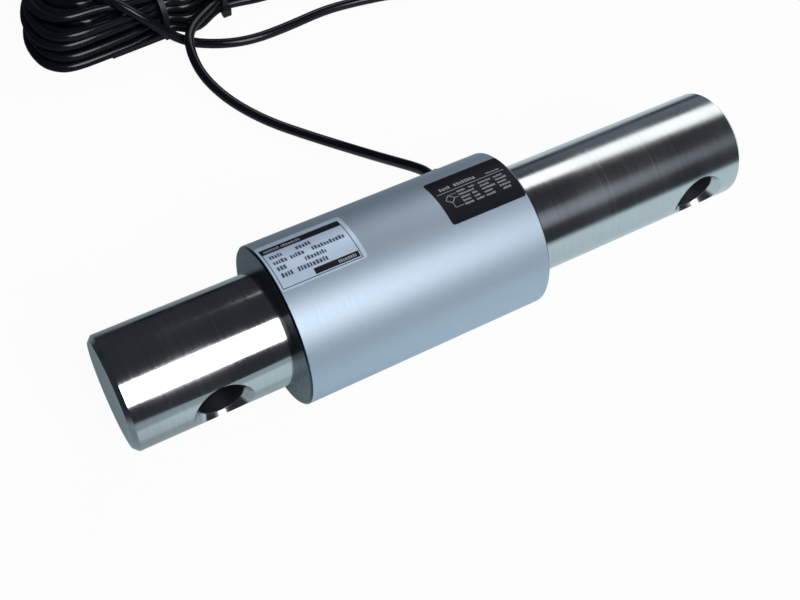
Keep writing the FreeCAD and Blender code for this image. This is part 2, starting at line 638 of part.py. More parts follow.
def make_cores():
    """The cable's four cores, from the end of its jacket in the gland back to the board."""
    radius = size("core_diameter") / 2
    half_pitch = size("core_pitch") / 2
    start = chamber_radius() + size("cable_stop")
    low = board_top() + radius
    gland = board_right_edge() + size("board_setback")
    near = board_right_edge() - size("near_core_landing")
    far = board_right_edge() - size("far_core_landing")
    for side, lower, upper in ((half_pitch, "core_green", "core_red"),
                               (-half_pitch, "core_white", "core_black")):
        route = [(gland + half_pitch, start), (gland + half_pitch, low), (near, low)]
        points = [spoke_point(along, out, side) for along, out in route]
        finished(tube(lower, points, size("core_diameter")), lower)
        high = low + size("core_pitch")
        route = [(gland - half_pitch, start), (gland - half_pitch, high), (near, high), (far, low)]
        points = [spoke_point(along, out, side) for along, out in route]
        finished(tube(upper, points, size("core_diameter")), upper)


def make_gland():
    """A low compression gland: sealing ring, hexagon body, rubber bush and nut."""
    thread = "gland_thread / 2"
    neck = "gland_spigot_diameter / 2"
    bush = "gland_seal_diameter / 2"
    bore = "cable_diameter / 2 + cable_clearance"
    gasket = turned("gland_gasket", rectangle(SPOT_OUT, FLANGE_OUT, f"{thread} + thread_clearance",
                                              "gasket_diameter / 2"))
    body = turned("gland_body", [
        (CHAMBER_RADIUS, bore), (SEAL_FLOOR, bore), (SEAL_FLOOR, bush), (NECK_END, bush), (NECK_END, neck),
        (NECK_OUT, neck), (NECK_OUT, f"{HEX_CORNER} - nut_chamfer"),
        (f"{NECK_OUT} - nut_chamfer / 2", HEX_CORNER), (FLANGE_OUT, HEX_CORNER), (FLANGE_OUT, thread),
        (CHAMBER_RADIUS, thread)])
    trim_to_hexagon(body, NECK_END, "gland_hex")
    seal = turned("gland_seal", rectangle(SEAL_FLOOR, SEAL_END, bore, f"{bush} - cable_clearance"))
    inside = f"{neck} + thread_clearance"
    mouth = "cable_diameter / 2 + nut_mouth_clearance"
    nut = turned("gland_nut", [
        (NUT_OUT, inside), (SEAL_END, inside), (SEAL_END, mouth), (NUT_END, mouth),
        (NUT_END, f"{HEX_CORNER} - 2 * nut_chamfer"), (f"{NUT_END} - nut_chamfer", HEX_CORNER),
        (f"{NUT_OUT} + nut_chamfer / 2", HEX_CORNER), (NUT_OUT, f"{HEX_CORNER} - nut_chamfer")])
    trim_to_hexagon(nut, NUT_END, "gland_hex")
    for piece in (gasket, body, seal, nut):
        finished(on_spoke(piece, GLAND_ALONG), piece.Name)


def make_labels():
    """Two thin labels with rounded corners, wrapped on the sleeve near its ends."""
    rating_left = f"{SLEEVE_LEFT} + rating_label_inset"
    wiring_right = f"{SLEEVE_RIGHT} - wiring_label_inset"
    outside = f"{SLEEVE_RADIUS} + label_thickness"
    for kind, left, right in (("rating", rating_left, f"{rating_left} + rating_label_length"),
                              ("wiring", f"{wiring_right} - wiring_label_length", wiring_right)):
        body = doc.addObject("PartDesign::Body", f"{kind}_label")
        sketch = new_sketch(body, f"{kind}_label_section", "XY_Plane")
        bind(sketch, {"AttachmentOffset.Rotation.Roll": f"90 - {kind}_label_tilt"})
        draw_outline(sketch, rectangle(left, right, SLEEVE_RADIUS, outside))
        wrap = revolve(body, sketch)
        wrap.Midplane = True
        bind(wrap, {"Angle": f"{kind}_label_width / ({SLEEVE_RADIUS}) * 180 / pi"})
        on_axis(body)
        doc.recompute()
        thickness = size("label_thickness")
        fillet(body, wrap, "corners", "label_corner",
               lambda bounds: bounds.DiagonalLength < 2 * thickness)
        finished(body, f"{kind}_label")


def hank_bundle():
    """Width of the bundle of strands on each side of the hank."""
    return (size("hank_width") - size("hank_window")) / 2


def by_hank(thing, along, across, up="0"):
    """Place a thing in the hank's own turned frame."""
    bind(thing, {
        "Placement.Base.x": f"hank_x + ({along}) * cos(hank_turn) - ({across}) * sin(hank_turn)",
        "Placement.Base.y": f"hank_y + ({along}) * sin(hank_turn) + ({across}) * cos(hank_turn)",
        "Placement.Base.z": up,
        "Placement.Rotation.Yaw": "hank_turn",
    })
    return thing


def rounded_block(name, along, inset, low):
    """A slice of the hank, taken in by an inset, with its long edges rounded."""
    block = box(f"{name}_box", "tie_width", f"hank_width - 2 * {inset}", f"hank_height - {inset} - {low}")
    doc.recompute()
    rounding = doc.addObject("Part::Fillet", name)
    rounding.Base = block
    crown = (hank_bundle() - size("hank_crest")) / 2
    taken_in = (size("hank_width") - float(block.Width)) / 2
    edges = []
    for index, edge in enumerate(block.Shape.Edges, start=1):
        bounds = edge.BoundBox
        if bounds.XLength > size("tie_width") / 2:
            upper = bounds.ZMin > size("hank_height") / 2
            radius = crown - taken_in if upper else size("tie_foot")
            edges.append((index, radius, radius))
    rounding.Edges = edges
    return by_hank(rounding, f"{along} - tie_width / 2", f"-hank_width / 2 + {inset}", low)


def make_ties():
    """Two straps pulled round the hank, locked low at its near side, and the room for them."""
    inset = "(tie_sink + tie_thickness)"
    room = []
    for side in ("left", "right"):
        along = f"{side}_tie_along"
        outer = rounded_block(f"{side}_tie_outside", along, "tie_sink", "0")
        inner = rounded_block(f"{side}_tie_inside", along, inset, "tie_thickness")
        strap = cut(f"{side}_tie_strap", outer, [inner])
        lock_front = "-hank_width / 2 + tie_sink - tie_head_out"
        lock = box(f"{side}_tie_lock", "tie_head", "tie_head_out + tie_thickness / 2", "tie_head")
        by_hank(lock, f"{along} - tie_head / 2", lock_front, "tie_head_low")
        tie = doc.addObject("Part::MultiFuse", f"hank_tie_{side}")
        tie.Shapes = [strap, lock]
        if side == "left":
            tail = box("left_tie_tail", "tie_tail + tie_head / 2", "tie_thickness", "tie_width")
            by_hank(tail, f"{along} - tie_head / 2 - tie_tail",
                    f"{lock_front} + (tie_head_out - tie_thickness) / 2",
                    "tie_head_low + (tie_head - tie_width) / 2")
            tie.Shapes = [strap, lock, tail]
        finished(tie, f"hank_tie_{side}")
        slot = box(f"{side}_tie_slot", "tie_width", "2 * hank_width", "2 * hank_height")
        by_hank(slot, f"{along} - tie_width / 2", "-hank_width", "-tie_thickness")
        room += [cut(f"{side}_tie_room", slot, [inner]), lock]
    return room


def make_hank(inlaid):
    """The hank's outer shape as one closed ring, cut where other pieces lie in it."""
    body = doc.addObject("PartDesign::Body", "hank_blank")
    sketch = new_sketch(body, "hank_plan", "XY_Plane")
    bundle = "(hank_width - hank_window) / 2"
    window = "(hank_window / 2)"
    window_end = f"(hank_length / 2 - {bundle})"
    draw_outline(sketch, rectangle("-hank_length / 2", "hank_length / 2",
                                   "-hank_width / 2", "hank_width / 2"))
    draw_outline(sketch, rectangle(f"-{window_end}", window_end, f"-{window}", window))
    ring = body.newObject("PartDesign::Pad", "hank_ring")
    ring.Profile = sketch
    bind(ring, {"Length": "hank_height"})
    half_length = size("hank_length") / 2
    height = size("hank_height")
    middle_of_bundle = half_length - hank_bundle() / 2

    def upright(bounds):
        return bounds.ZLength > height / 2

    near = fillet(body, ring, "near_corners", "hank_near_corner",
                  lambda bounds: upright(bounds) and bounds.YMin < 0
                  and abs(bounds.XMin) > middle_of_bundle)
    far = fillet(body, near, "far_corners", "hank_far_corner",
                 lambda bounds: upright(bounds) and bounds.XLength < 1
                 and bounds.YMin > size("hank_width") / 4 and abs(bounds.XMin) > middle_of_bundle)
    inside = fillet(body, far, "inside", f"{window} - cable_clearance",
                    lambda bounds: upright(bounds) and abs(bounds.XMin) < middle_of_bundle
                    and abs(bounds.YMin) < (size("hank_width") - hank_bundle()) / 2)
    crown = fillet(body, inside, "crown", f"({bundle} - hank_crest) / 2",
                   lambda bounds: bounds.ZMin > height / 2)
    fillet(body, crown, "foot", "hank_foot", lambda bounds: bounds.ZMax < size("hank_foot") / 2)
    by_hank(body, "0", "0")
    finished(cut("hank_cut", body, inlaid), "cable_hank")


def make_cable():
    """The cable from the gland to the hank, and its loose end."""
    gland = board_right_edge() + size("board_setback")
    nut_end = (size("sleeve_diameter") / 2 - size("gland_spot_depth") + size("gasket_thickness")
               + size("gland_flange") + size("nut_gap") + size("nut_length"))
    jacket_start = chamber_radius() + size("cable_stop")
    on_gland = [spoke_point(gland, out, 0) for out in (jacket_start, nut_end + size("cable_exit"))]
    run = tube("cable_run", on_gland + [Vector(*point) for point in RUN_POINTS], size("cable_diameter"))
    tail = tube("cable_tail", [Vector(*point) for point in TAIL_POINTS], size("cable_diameter"))
    finished(tail, "cable_tail")
    return finished(run, "cable_run")


def make_cable_end():
    """The stripped end: shrunk tube, four coloured leads with bared tips, and the drain wire."""
    before, end = (Vector(*point) for point in TAIL_POINTS[-2:])
    heading = end - before
    heading.normalize()
    radius = size("cable_diameter") / 2
    start = end - heading * size("shrink_overlap")
    outer = Part.makeCylinder(radius + size("shrink_wall"), size("shrink_length"), start, heading)
    inner = Part.makeCylinder(radius, size("shrink_length"), start, heading)
    shrink = doc.addObject("Part::Feature", "tail_shrink")
    shrink.Shape = outer.cut(inner)
    finished(shrink, "tail_shrink")
    half_pitch = size("core_pitch") / 2
    sideways = Vector(0, 0, 1).cross(heading)
    upward = heading.cross(sideways)

    def lead_route(aside, above, steps):
        first = end + (sideways * aside + upward * above) * half_pitch
        past = [Vector(end.x + along, end.y + across, height) for along, across, height in steps]
        return [first, first + heading * size("lead_straight")] + past

    tips = []
    for label, aside, above in (("lead_red", -1, -1), ("lead_black", -1, 1),
                                ("lead_green", 1, -1), ("lead_white", 1, 1)):
        route = lead_route(aside, above, LEAD_STEPS[label])
        finished(tube(label, route, size("core_diameter")), label)
        way = route[-1] - route[-2]
        tip = doc.addObject("Part::Feature", f"{label}_tip")
        tip.Shape = Part.makeCylinder(size("lead_tip_diameter") / 2, size("lead_tip_length"), route[-1], way)
        tips.append(tip)
    finished(group("lead_tip_set", tips), "lead_tips")
    finished(tube("drain_wire", lead_route(0, 0, DRAIN_STEPS), size("lead_tip_diameter")), "drain_wire")


make_beam()
make_sleeve()
make_seals()
make_grub_screws()
make_gauges()
make_board()
make_gauge_wires()
make_cores()
make_gland()
make_labels()
make_hank(make_ties() + [make_cable()])
make_cable_end()
doc.recompute()

for thing in doc.Objects:
    if "Invalid" in thing.State or "Error" in thing.State:
        raise RuntimeError(f"{thing.Label} failed: {thing.State}")
for piece in pieces:
    if piece.Shape.isNull() or not piece.Shape.isValid():
        raise RuntimeError(f"{piece.Label} has no valid shape")
os.makedirs("parts", exist_ok=True)
for piece in pieces:
    piece.Shape.exportStep(f"parts/{piece.Label}.step")
print(f"{len(pieces)} sub-parts written")
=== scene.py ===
"""Looks of a round bar load cell with its sleeve, labels and hank of cable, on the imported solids."""
import math
import random
from collections import namedtuple

import bmesh
import bpy
from bpy.props import FloatProperty, FloatVectorProperty, IntProperty, PointerProperty
from mathutils import Euler, Matrix, Vector


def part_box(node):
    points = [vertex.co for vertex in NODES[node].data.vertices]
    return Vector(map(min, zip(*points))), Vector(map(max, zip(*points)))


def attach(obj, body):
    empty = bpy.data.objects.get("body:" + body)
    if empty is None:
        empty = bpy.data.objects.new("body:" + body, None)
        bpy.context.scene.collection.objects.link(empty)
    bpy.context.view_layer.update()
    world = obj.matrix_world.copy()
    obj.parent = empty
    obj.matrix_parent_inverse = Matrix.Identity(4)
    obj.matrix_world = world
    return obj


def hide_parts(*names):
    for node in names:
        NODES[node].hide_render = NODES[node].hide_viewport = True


bl_info = {
    "name": "Round Bar Load Cell",
    "version": (1, 0, 0),
    "blender": (4, 5, 0),
    "location": "View3D > Sidebar > Load Cell",
    "description": "Cable, label print, finishes and studio for a round bar load cell",
    "category": "Object",
}

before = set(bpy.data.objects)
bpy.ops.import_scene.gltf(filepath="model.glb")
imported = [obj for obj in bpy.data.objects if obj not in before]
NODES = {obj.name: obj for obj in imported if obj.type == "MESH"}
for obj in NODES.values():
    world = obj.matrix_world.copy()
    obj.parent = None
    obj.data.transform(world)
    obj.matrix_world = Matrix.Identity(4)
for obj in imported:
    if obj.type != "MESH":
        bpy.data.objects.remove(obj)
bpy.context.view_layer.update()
MM = 0.001
SLEEVE_LOW, SLEEVE_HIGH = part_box("sleeve")
SLEEVE_RADIUS = (SLEEVE_HIGH.y - SLEEVE_LOW.y) / 2
AXIS = Vector((0, (SLEEVE_HIGH.y + SLEEVE_LOW.y) / 2, (SLEEVE_HIGH.z + SLEEVE_LOW.z) / 2))

# Where the finishes of the bar and the sleeve change, in metres.
BAR_EDGE = 0.2 * MM
SLEEVE_EDGE = 0.8 * MM
EDGE_BLEND = 0.1 * MM
BORES = (-112.5 * MM, 126.9 * MM)
BORE_RADIUS = 10 * MM
HANDLED = (30 * MM, 70 * MM)

# Routes in millimetres: the cable from the gland to its hank, and from the hank to its stripped end.
CABLE_RUN = (
    (25, 30.53, 30.12), (25, 46, 27.4), (23.6, 55, 22.8), (17.6, 71.6, 13.6), (9.5, 91, 4.4),
    (-6.5, 110.8, 2.5), (-20.4, 127.4, 2.5), (-31.3, 146.9, 2.8), (-37.5, 164.5, 6),
    (-37.6, 179.1, 10.6), (-32.1, 193, 11.2), (-14.5, 204.1, 9.8), (1, 214.5, 9),
)
CABLE_TAIL = (
    (-91, 238.2, 26.6), (-87, 231.5, 26.8), (-69.8, 217.5, 28.5), (-55.6, 201.9, 23.5),
    (-36.5, 195, 2.5), (-21, 185.2, 2.5), (-3, 180.2, 2.5), (19, 181.2, 2.5), (43, 184.2, 2.5),
    (65, 182.2, 2.5), (84, 178.4, 3), (100, 176, 3.05),
)
CABLE_END = Vector(CABLE_TAIL[-1])
CABLE_RESOLUTION = 5
CORD_ROUNDNESS = 6

# Each lead: its slot, its place in the jacket (aside, above) and its steps from the jacket's end.
LEADS = {
    "lead_red": ("red_core", (-1, -1), ((15, -5.2, 1.2), (26, -11, 0.65), (37, -19, 0.65))),
    "lead_black": ("black_core", (-1, 1), ((15, -3.4, 2.4), (26, -6.4, 0.9), (38, -10, 0.65))),
    "lead_green": ("green_core", (1, -1), ((15, 0, 1.2), (26, 2.8, 0.65), (38, 6.6, 0.65))),
    "lead_white": ("white_core", (1, 1), ((15, 1.6, 2.4), (25, 7, 0.9), (35, 14.5, 0.65))),
    "drain_wire": ("bare_wire", (0, 0), ((15, -1.8, 1.8), (26, -1.6, 0.5), (36, -0.8, 0.45))),
}
LEAD_ASIDE = 0.75
LEAD_STRAIGHT = 5
LEAD_RESOLUTION = 10

# The hank's sides, towards the load cell and away from it, and its ends.
NEAR, FAR = -1, 1
LEFT, RIGHT = -1, 1

# The order in which the hank was wound: row from the floor, and place outwards in half pitches.
WINDING = (
    (1, 2), (1, 0), (1, -2), (1, -4), (0, -5), (0, -3), (0, -1), (0, 1), (0, 3), (0, 5), (1, 4),
    (2, 3), (2, 1), (2, -1), (2, -3), (3, -3), (3, -1), (3, 1), (3, 3), (4, 2), (4, 0), (4, -2),
)
OUTER_PLACE = max(place for row, place in WINDING)

# Rows of strands from the floor up, in millimetres; all but the heights are for the folded ends.
ROW_HEIGHTS = (2.5, 7.1, 11.7, 16.7, 21.3)
ROW_REACH = (3.1, 3.2, 6.0, 3.5, 4.2)
ROW_ACROSS = (0, 0, 0, 0, 2.5)
ROW_SPREAD = (0, 0, 0, 0, -3.9)

# The hank's folded ends, in millimetres, degrees and shares of a strand's place outwards.
FOLD = 15.6
FOLD_SPREAD = 0.58
END_SPREAD = 0.88
END_LIFT = 1.08
END_STAGGER = 1.6
NEAR_CORNER_SPREAD = 0.02
FAR_CORNER_SPREAD = 1.1
CORNER_ANGLES = (15, 45, 75)
CORNER_PULL = 1.035

# Points along the hank's straights, in millimetres from its middle, and their distance from a corner.
STATIONS = (14, 30, 48, 62, 76)
CORNER_ROOM = 0.73
CORNER_GAP = 6
INNERMOST_GAP = 25

# Where the straights open out towards the ends, where they swell and where the ties draw them in.
OPENING_START = 50
OPENING_LENGTH = 34
NEAR_BULGE = -30
FAR_BULGE = -27
SWELLS = {NEAR_BULGE: 6.0, 14: 1.7, 30: 1.7, 48: 1.7}
RIGHT_TIE = (-6, -14)
LEFT_TIE = (-40, -48)
TIED_WIDTH = 0.945
TIED_FLOOR = 3.6
TIED_HEIGHT = 0.877

# How far a strand may wander: on a straight, between the ties, along a folded end and up at it.
SLACK = 0.3
TIED_SLACK = 0.2
END_SLACK = 0.6
LIFT_SLACK = 0.25

# The last strand, from the right tie over the hank's top, in the hank's own frame.
LAST_STRAND = (
    (-27, 13, 23.6), (-38, 14, 26), (-48, 16.5, 26.5), (-60, 21, 26.2), (-70, 24, 26),
    (-79.5, 23.3, 26.3), (-86.8, 20.6, 26.6), (-91.6, 14.5, 26.6),
)
Strand = namedtuple("Strand", "out height bent lifted length across")

# Print in millimetres from a label's left end and front edge; blocks are shares of a row's cell.
Row = namedtuple("Row", "low height cell seed runs")
BLOCK_WIDTH = (0.4, 0.75)
BLOCK_HEIGHT = (0.7, 1.0)
BLOCK_GAP = 0.26
PRINT_STEP = 0.7

# The rating label: its border, its band at the top, its dark field at the foot and its rows.
RATING_LEFT, RATING_RIGHT = 0.9, 36.4
RATING_FOOT, RATING_BAND, RATING_TOP = 0.8, 19.9, 23.7
FIELD_LEFT, FIELD_TOP, FIELD_INSET = 15.8, 4.3, 0.8
RATING_ROWS = (
    Row(16.0, 2.2, 1.5, 3, ((2.8, 8.7), (14.3, 20.7))),
    Row(12.5, 2.2, 1.5, 4, ((2.9, 9.1), (10.3, 17.1), (19.9, 34.3))),
    Row(9.0, 2.2, 1.5, 5, ((3.0, 7.5), (15.1, 24.3))),
    Row(5.5, 2.3, 1.6, 6, ((3.1, 8.9), (10.3, 23.3))),
)
RATING_PALE_ROWS = (
    Row(20.9, 1.7, 1.3, 7, ((2.4, 9.0), (10.0, 19.0))),
    Row(2.2, 1.5, 1.3, 8, ((26.4, 34.8),)),
)

# The wiring label: its rule, its rows, and the outline of a gauge bridge with its wires.
WIRING_LEFT, WIRING_RIGHT, WIRING_RULE = 1.4, 34.1, 15.7
WIRING_ROWS = (
    Row(17.2, 2.0, 1.7, 12, ((3.7, 9.7), (10.7, 21.3))),
    Row(16.9, 1.0, 1.0, 13, ((26.2, 33.0),)),
    Row(13.5, 1.0, 0.9, 20, ((9.7, 14.1), (15.5, 18.5), (20.1, 26.3), (27.7, 32.3))),
    Row(11.7, 1.0, 0.9, 21, ((9.7, 16.9), (20.1, 24.7), (27.7, 32.9))),
    Row(9.9, 1.0, 0.9, 22, ((9.7, 13.9), (15.3, 17.7), (20.1, 26.7), (27.7, 32.3))),
    Row(8.1, 1.0, 0.9, 23, ((9.7, 13.7), (15.3, 18.1), (20.1, 24.3), (27.7, 32.9))),
    Row(6.3, 1.0, 0.9, 24, ((9.7, 13.9), (15.3, 18.9), (20.1, 24.7), (28.3, 32.5))),
)
BRIDGE = ((5.2, 13.7), (7.3, 11.6), (5.2, 9.5), (3.1, 11.6))
BRIDGE_WIRES = (
    ((7.3, 11.6), (9.1, 11.6)), ((5.2, 13.7), (9.1, 13.7)),
    ((5.2, 9.5), (5.2, 6.9)), ((5.2, 6.9), (9.1, 6.9)),
)
WIRE_SHARE = 0.8

# Insulation of the leads and the cores, and the tin on the bare wire.
RED = (0.50, 0.018, 0.016)
BLACK = (0.014, 0.014, 0.015)
GREEN = (0.014, 0.24, 0.06)
WHITE = (0.74, 0.74, 0.71)
TINNED = (0.66, 0.64, 0.60)
INSULATION_ROUGHNESS = 0.38
INSULATION_GRAIN = 1500

# Plain finishes: nodes, name, colour, roughness, share of metal and, where it isn't the usual, grain.
PLAIN_GRAIN = 900
FITTING_FINISHES = (
    (("gland_body", "gland_nut"), "nickel_plate", (0.62, 0.60, 0.55), 0.24, 1.0, 500),
    (("set_screw_back", "set_screw_low"), "black_oxide", (0.035, 0.035, 0.038), 0.42, 0.6, 1200),
    (("left_seal", "right_seal", "gland_gasket", "gland_seal"),
     "sealing_rubber", (0.012, 0.012, 0.012), 0.6, 0.0, 1400),
)
INSIDE_FINISHES = (
    (("pocket_cover_top", "pocket_cover_bottom"), "rolled_steel", (0.58, 0.58, 0.57), 0.33, 1.0),
    (("gauge_top", "gauge_bottom"), "amber_film", (0.50, 0.25, 0.05), 0.30, 0.0),
    (("terminal_top", "terminal_bottom"), "tinned_copper", (0.66, 0.42, 0.28), 0.30, 1.0),
    (("board_pad",), "insulating_film", (0.05, 0.05, 0.055), 0.45, 0.0),
    (("bridge_board",), "solder_mask", (0.012, 0.12, 0.045), 0.35, 0.0),
    (("trim_resistors",), "chip_body", (0.02, 0.02, 0.024), 0.4, 0.0),
    (("board_screws",), "zinc_plate", (0.60, 0.60, 0.57), 0.30, 1.0),
    (("gauge_wires_top", "gauge_wires_bottom"), "wire_enamel", (0.36, 0.10, 0.03), 0.3, 0.0),
    (("core_red",), "red_core_skin", RED, INSULATION_ROUGHNESS, 0.0),
    (("core_green",), "green_core_skin", GREEN, INSULATION_ROUGHNESS, 0.0),
    (("core_white",), "white_core_skin", WHITE, INSULATION_ROUGHNESS, 0.0),
    (("core_black",), "black_core_skin", BLACK, INSULATION_ROUGHNESS, 0.0),
    (("tail_shrink",), "shrunk_tube", (0.013, 0.013, 0.013), 0.5, 0.0),
    (("hank_tie_left", "hank_tie_right"), "moulded_strap", (0.010, 0.010, 0.011), 0.42, 0.0),
)

# How a plain finish varies: its broad clouds, and how far its roughness strays.
CLOUD_SHIFT = (0.3, 0.1, 0.2)
CLOUD_SIZE = 14
ROUGHNESS_SPREAD = 0.15

# Label finishes: their grain, how far it stands up in metres, and the ink of the rating's rows.
PRINT_GRAIN = 1600
INK_BUMP = 0.000004
FILM_BUMP = 0.000006
SOFT_INK = (0.07, 0.085, 0.13)

# The camera in metres and degrees, and the width of its sensor in millimetres.
CAMERA_PLACE = Vector((-0.19174, -0.23050, 0.45901))
CAMERA_TURN = (32.59623, -4.97707, -29.59629)
SENSOR_WIDTH = 36

# Softboxes: degrees up and round, and metres wide and tall, all at one distance from the sleeve.
Softbox = namedtuple("Softbox", "elevation azimuth wide tall")
FRONT_SOFTBOX = Softbox(50, -81, 0.64, 1.12)
REAR_SOFTBOX = Softbox(40, 44, 1.16, 0.56)
SOFTBOX_DISTANCE = 1.5

# Paler parts of the room: the way to the middle of each, and the cosine at its rim.
REAR_GLOW_WAY, REAR_GLOW_RIM = (0.75, 0.66, 0), 0.86
SIDE_GLOW_WAY, SIDE_GLOW_RIM = (0.406, -0.65, 0.643), 0.95

# The floor as gloss shows it, in metres: a painted pool of light near the bar, painted shade ahead and a
# painted shadow at the left stub's foot.
LIT_MIDDLE = Vector((0.14, -0.13, 0))
LIT_RIM = (0.26, 0.45)
AHEAD_WAY = (-0.42, -0.907, 0)
AHEAD_RIM = (0.156, 0.168)
AHEAD_SHARE = 0.55
FOOT_ALONG = (-0.06, 0)
FOOT_ACROSS = (-0.054, -0.044)
FOOT_SHADOW_SHARE = 0.3
UNLIT_FLOOR = (0.05, 0.055, 0.06)
FLOOR_PAPER = (0.93, 0.93, 0.93, 1)
FLOOR_SIDES = 64


class LoadCellCable(bpy.types.PropertyGroup):
    """Sizes of the cable and its hank."""
    diameter: FloatProperty(
        name="Diameter", description="Cable over its jacket", default=5 * MM, min=1 * MM, unit="LENGTH")
    length: FloatProperty(
        name="Length", description="Whole cable from the gland to its stripped end", default=10.0,
        min=1.0, unit="LENGTH")
    lead_diameter: FloatProperty(
        name="Lead", description="Insulated lead at the stripped end", default=1.2 * MM,
        min=0.3 * MM, unit="LENGTH")
    drain_diameter: FloatProperty(
        name="Drain wire", description="Bare drain wire at the stripped end", default=0.8 * MM,
        min=0.3 * MM, unit="LENGTH")
    hank_centre: FloatVectorProperty(
        name="Hank centre", description="Middle of the hank on the floor", size=2,
        default=(1.7 * MM, 238 * MM), unit="LENGTH")
    hank_turn: FloatProperty(
        name="Hank turn", description="Turn of the hank on the floor", default=math.radians(4),
        subtype="ANGLE")
    half_length: FloatProperty(
        name="Half length", description="Middle of the bundle from the hank's centre, along it",
        default=94.5 * MM, unit="LENGTH")
    half_width: FloatProperty(
        name="Half width", description="Middle of the bundle from the hank's centre, across it",
        default=17.5 * MM, unit="LENGTH")
    pitch: FloatProperty(
        name="Pitch", description="From strand to strand in a row", default=5.3 * MM, unit="LENGTH")
    seed: IntProperty(name="Seed", description="Seed of the strands' small wanderings", default=11)


class LoadCellPrint(bpy.types.PropertyGroup):
    """Sizes of the two labels' print."""
    ink: FloatProperty(
        name="Ink", description="Thickness of the print", default=0.02 * MM, min=0.0, unit="LENGTH")
    lift: FloatProperty(
        name="Lift", description="Print from the sleeve, just clear of a label", default=0.22 * MM, min=0.0,
        unit="LENGTH")
    rule: FloatProperty(
        name="Rule", description="Width of a printed line", default=0.3 * MM, unit="LENGTH")


class LoadCellColours(bpy.types.PropertyGroup):
    """Colours of the finishes that show."""
    bar: FloatVectorProperty(
        name="Bar", description="Ground steel", subtype="COLOR", min=0, max=1, default=(0.56, 0.585, 0.595))
    bar_end: FloatVectorProperty(
        name="Bar end", description="Faced ends of the bar", subtype="COLOR", min=0, max=1,
        default=(0.42, 0.54, 0.60))
    # Painted shade on the walls of the bar's cross holes.
    painted_bore_shade: FloatVectorProperty(
        name="Bore", description="Walls of the bar's cross holes", subtype="COLOR", min=0, max=1,
        default=(0.16, 0.165, 0.17))
    sleeve: FloatVectorProperty(
        name="Sleeve", description="Anodised aluminium", subtype="COLOR", min=0, max=1,
        default=(0.47, 0.565, 0.665))
    # The sleeve's turned ends: their own colour, darkened with painted shade for the shade they mirror.
    sleeve_end_and_shade: FloatVectorProperty(
        name="Sleeve end", description="Turned ends of the sleeve", subtype="COLOR", min=0, max=1,
        default=(0.05, 0.085, 0.105))
    jacket: FloatVectorProperty(
        name="Jacket", description="Cable jacket", subtype="COLOR", min=0, max=1,
        default=(0.0038, 0.0047, 0.0076))
    foil: FloatVectorProperty(
        name="Foil", description="Silver label", subtype="COLOR", min=0, max=1,
        default=(0.66, 0.78, 0.94))
    film: FloatVectorProperty(
        name="Film", description="Black label and print", subtype="COLOR", min=0, max=1,
        default=(0.006, 0.007, 0.013))
    pale_ink: FloatVectorProperty(
        name="Pale ink", description="Pale print on dark", subtype="COLOR", min=0, max=1,
        default=(0.34, 0.35, 0.38))


class LoadCellStage(bpy.types.PropertyGroup):
    """Floor, light and camera."""
    floor_radius: FloatProperty(
        name="Floor", description="Radius of the pale floor", default=4.0, min=1.0, unit="LENGTH")
    floor_white: FloatProperty(
        name="Floor white", description="Share of plain white in the floor", default=0.95, min=0, max=1,
        subtype="FACTOR")
    floor_gloss: FloatVectorProperty(
        name="Floor in metal", description="Near floor as gloss shows it", subtype="COLOR", min=0, max=1,
        default=(0.84, 0.98, 1.0))
    floor_glow: FloatProperty(
        name="Floor glow", description="Share of its own light in the floor that gloss shows", default=0.2,
        min=0, max=1, subtype="FACTOR")
    room: FloatVectorProperty(
        name="Room", description="Even light of the room", subtype="COLOR", min=0, max=1,
        default=(0.16, 0.19, 0.23))
    room_gloss: FloatVectorProperty(
        name="Room in metal", description="Room as gloss shows it", subtype="COLOR", min=0, max=1,
        default=(0.033, 0.036, 0.042))
    rear_glow: FloatVectorProperty(
        name="Rear glow", description="Paler part of the room behind, as gloss shows it", subtype="COLOR",
        min=0, max=1, default=(0.22, 0.25, 0.31))
    side_glow: FloatVectorProperty(
        name="Side glow", description="Paler part of the room beside the front softbox, as gloss shows it",
        subtype="COLOR", min=0, max=1, default=(0.28, 0.30, 0.34))
    front_power: FloatProperty(
        name="Front softbox", description="Power of the front softbox", default=14.5, min=0, unit="POWER")
    rear_power: FloatProperty(
        name="Rear softbox", description="Power of the rear softbox", default=3.7, min=0, unit="POWER")
    lens: FloatProperty(
        name="Lens", description="Focal length on a 36 mm frame", default=53.42, min=10,
        subtype="DISTANCE_CAMERA")


class LoadCellSettings(bpy.types.PropertyGroup):
    """All that a user would change."""
    cable: PointerProperty(type=LoadCellCable)
    label_print: PointerProperty(type=LoadCellPrint)
    colours: PointerProperty(type=LoadCellColours)
    stage: PointerProperty(type=LoadCellStage)


def settings():
    """The scene's load cell settings."""
    return bpy.context.scene.load_cell


def link(thing):
    """Puts an object into the scene."""
    bpy.context.scene.collection.objects.link(thing)
    return thing


def in_metres(point):
    """A point that is given in millimetres."""
    return tuple(part * MM for part in point)


def mesh_piece(name, shape):
    """The finished bmesh as an object at the origin."""
    mesh = bpy.data.meshes.new(name)
    shape.to_mesh(mesh)
    shape.free()
    return link(bpy.data.objects.new(name, mesh))


def dress(thing, material):
    """Puts one material on a piece or on a CAD node's own slots."""
    thing.data.materials.clear()
    thing.data.materials.append(material)


def dress_nodes(material, *names):
    """Puts one material on CAD nodes."""
    for name in names:
        dress(NODES[name], material)


def new_finish(name, colour, roughness, metallic=0.0):
    """A material with its even values on the shader's own sockets."""
    material = bpy.data.materials.new(name)
    material.use_nodes = True
    shader = material.node_tree.nodes["Principled BSDF"]
    shader.inputs["Base Color"].default_value = (*colour, 1.0)
    shader.inputs["Roughness"].default_value = roughness
    shader.inputs["Metallic"].default_value = metallic
    return material, shader


def set_mirroring(material, level):
    """How strongly a surface that isn't metal mirrors what is round it."""
    shader = material.node_tree.nodes["Principled BSDF"]
    shader.inputs["Specular IOR Level"].default_value = level


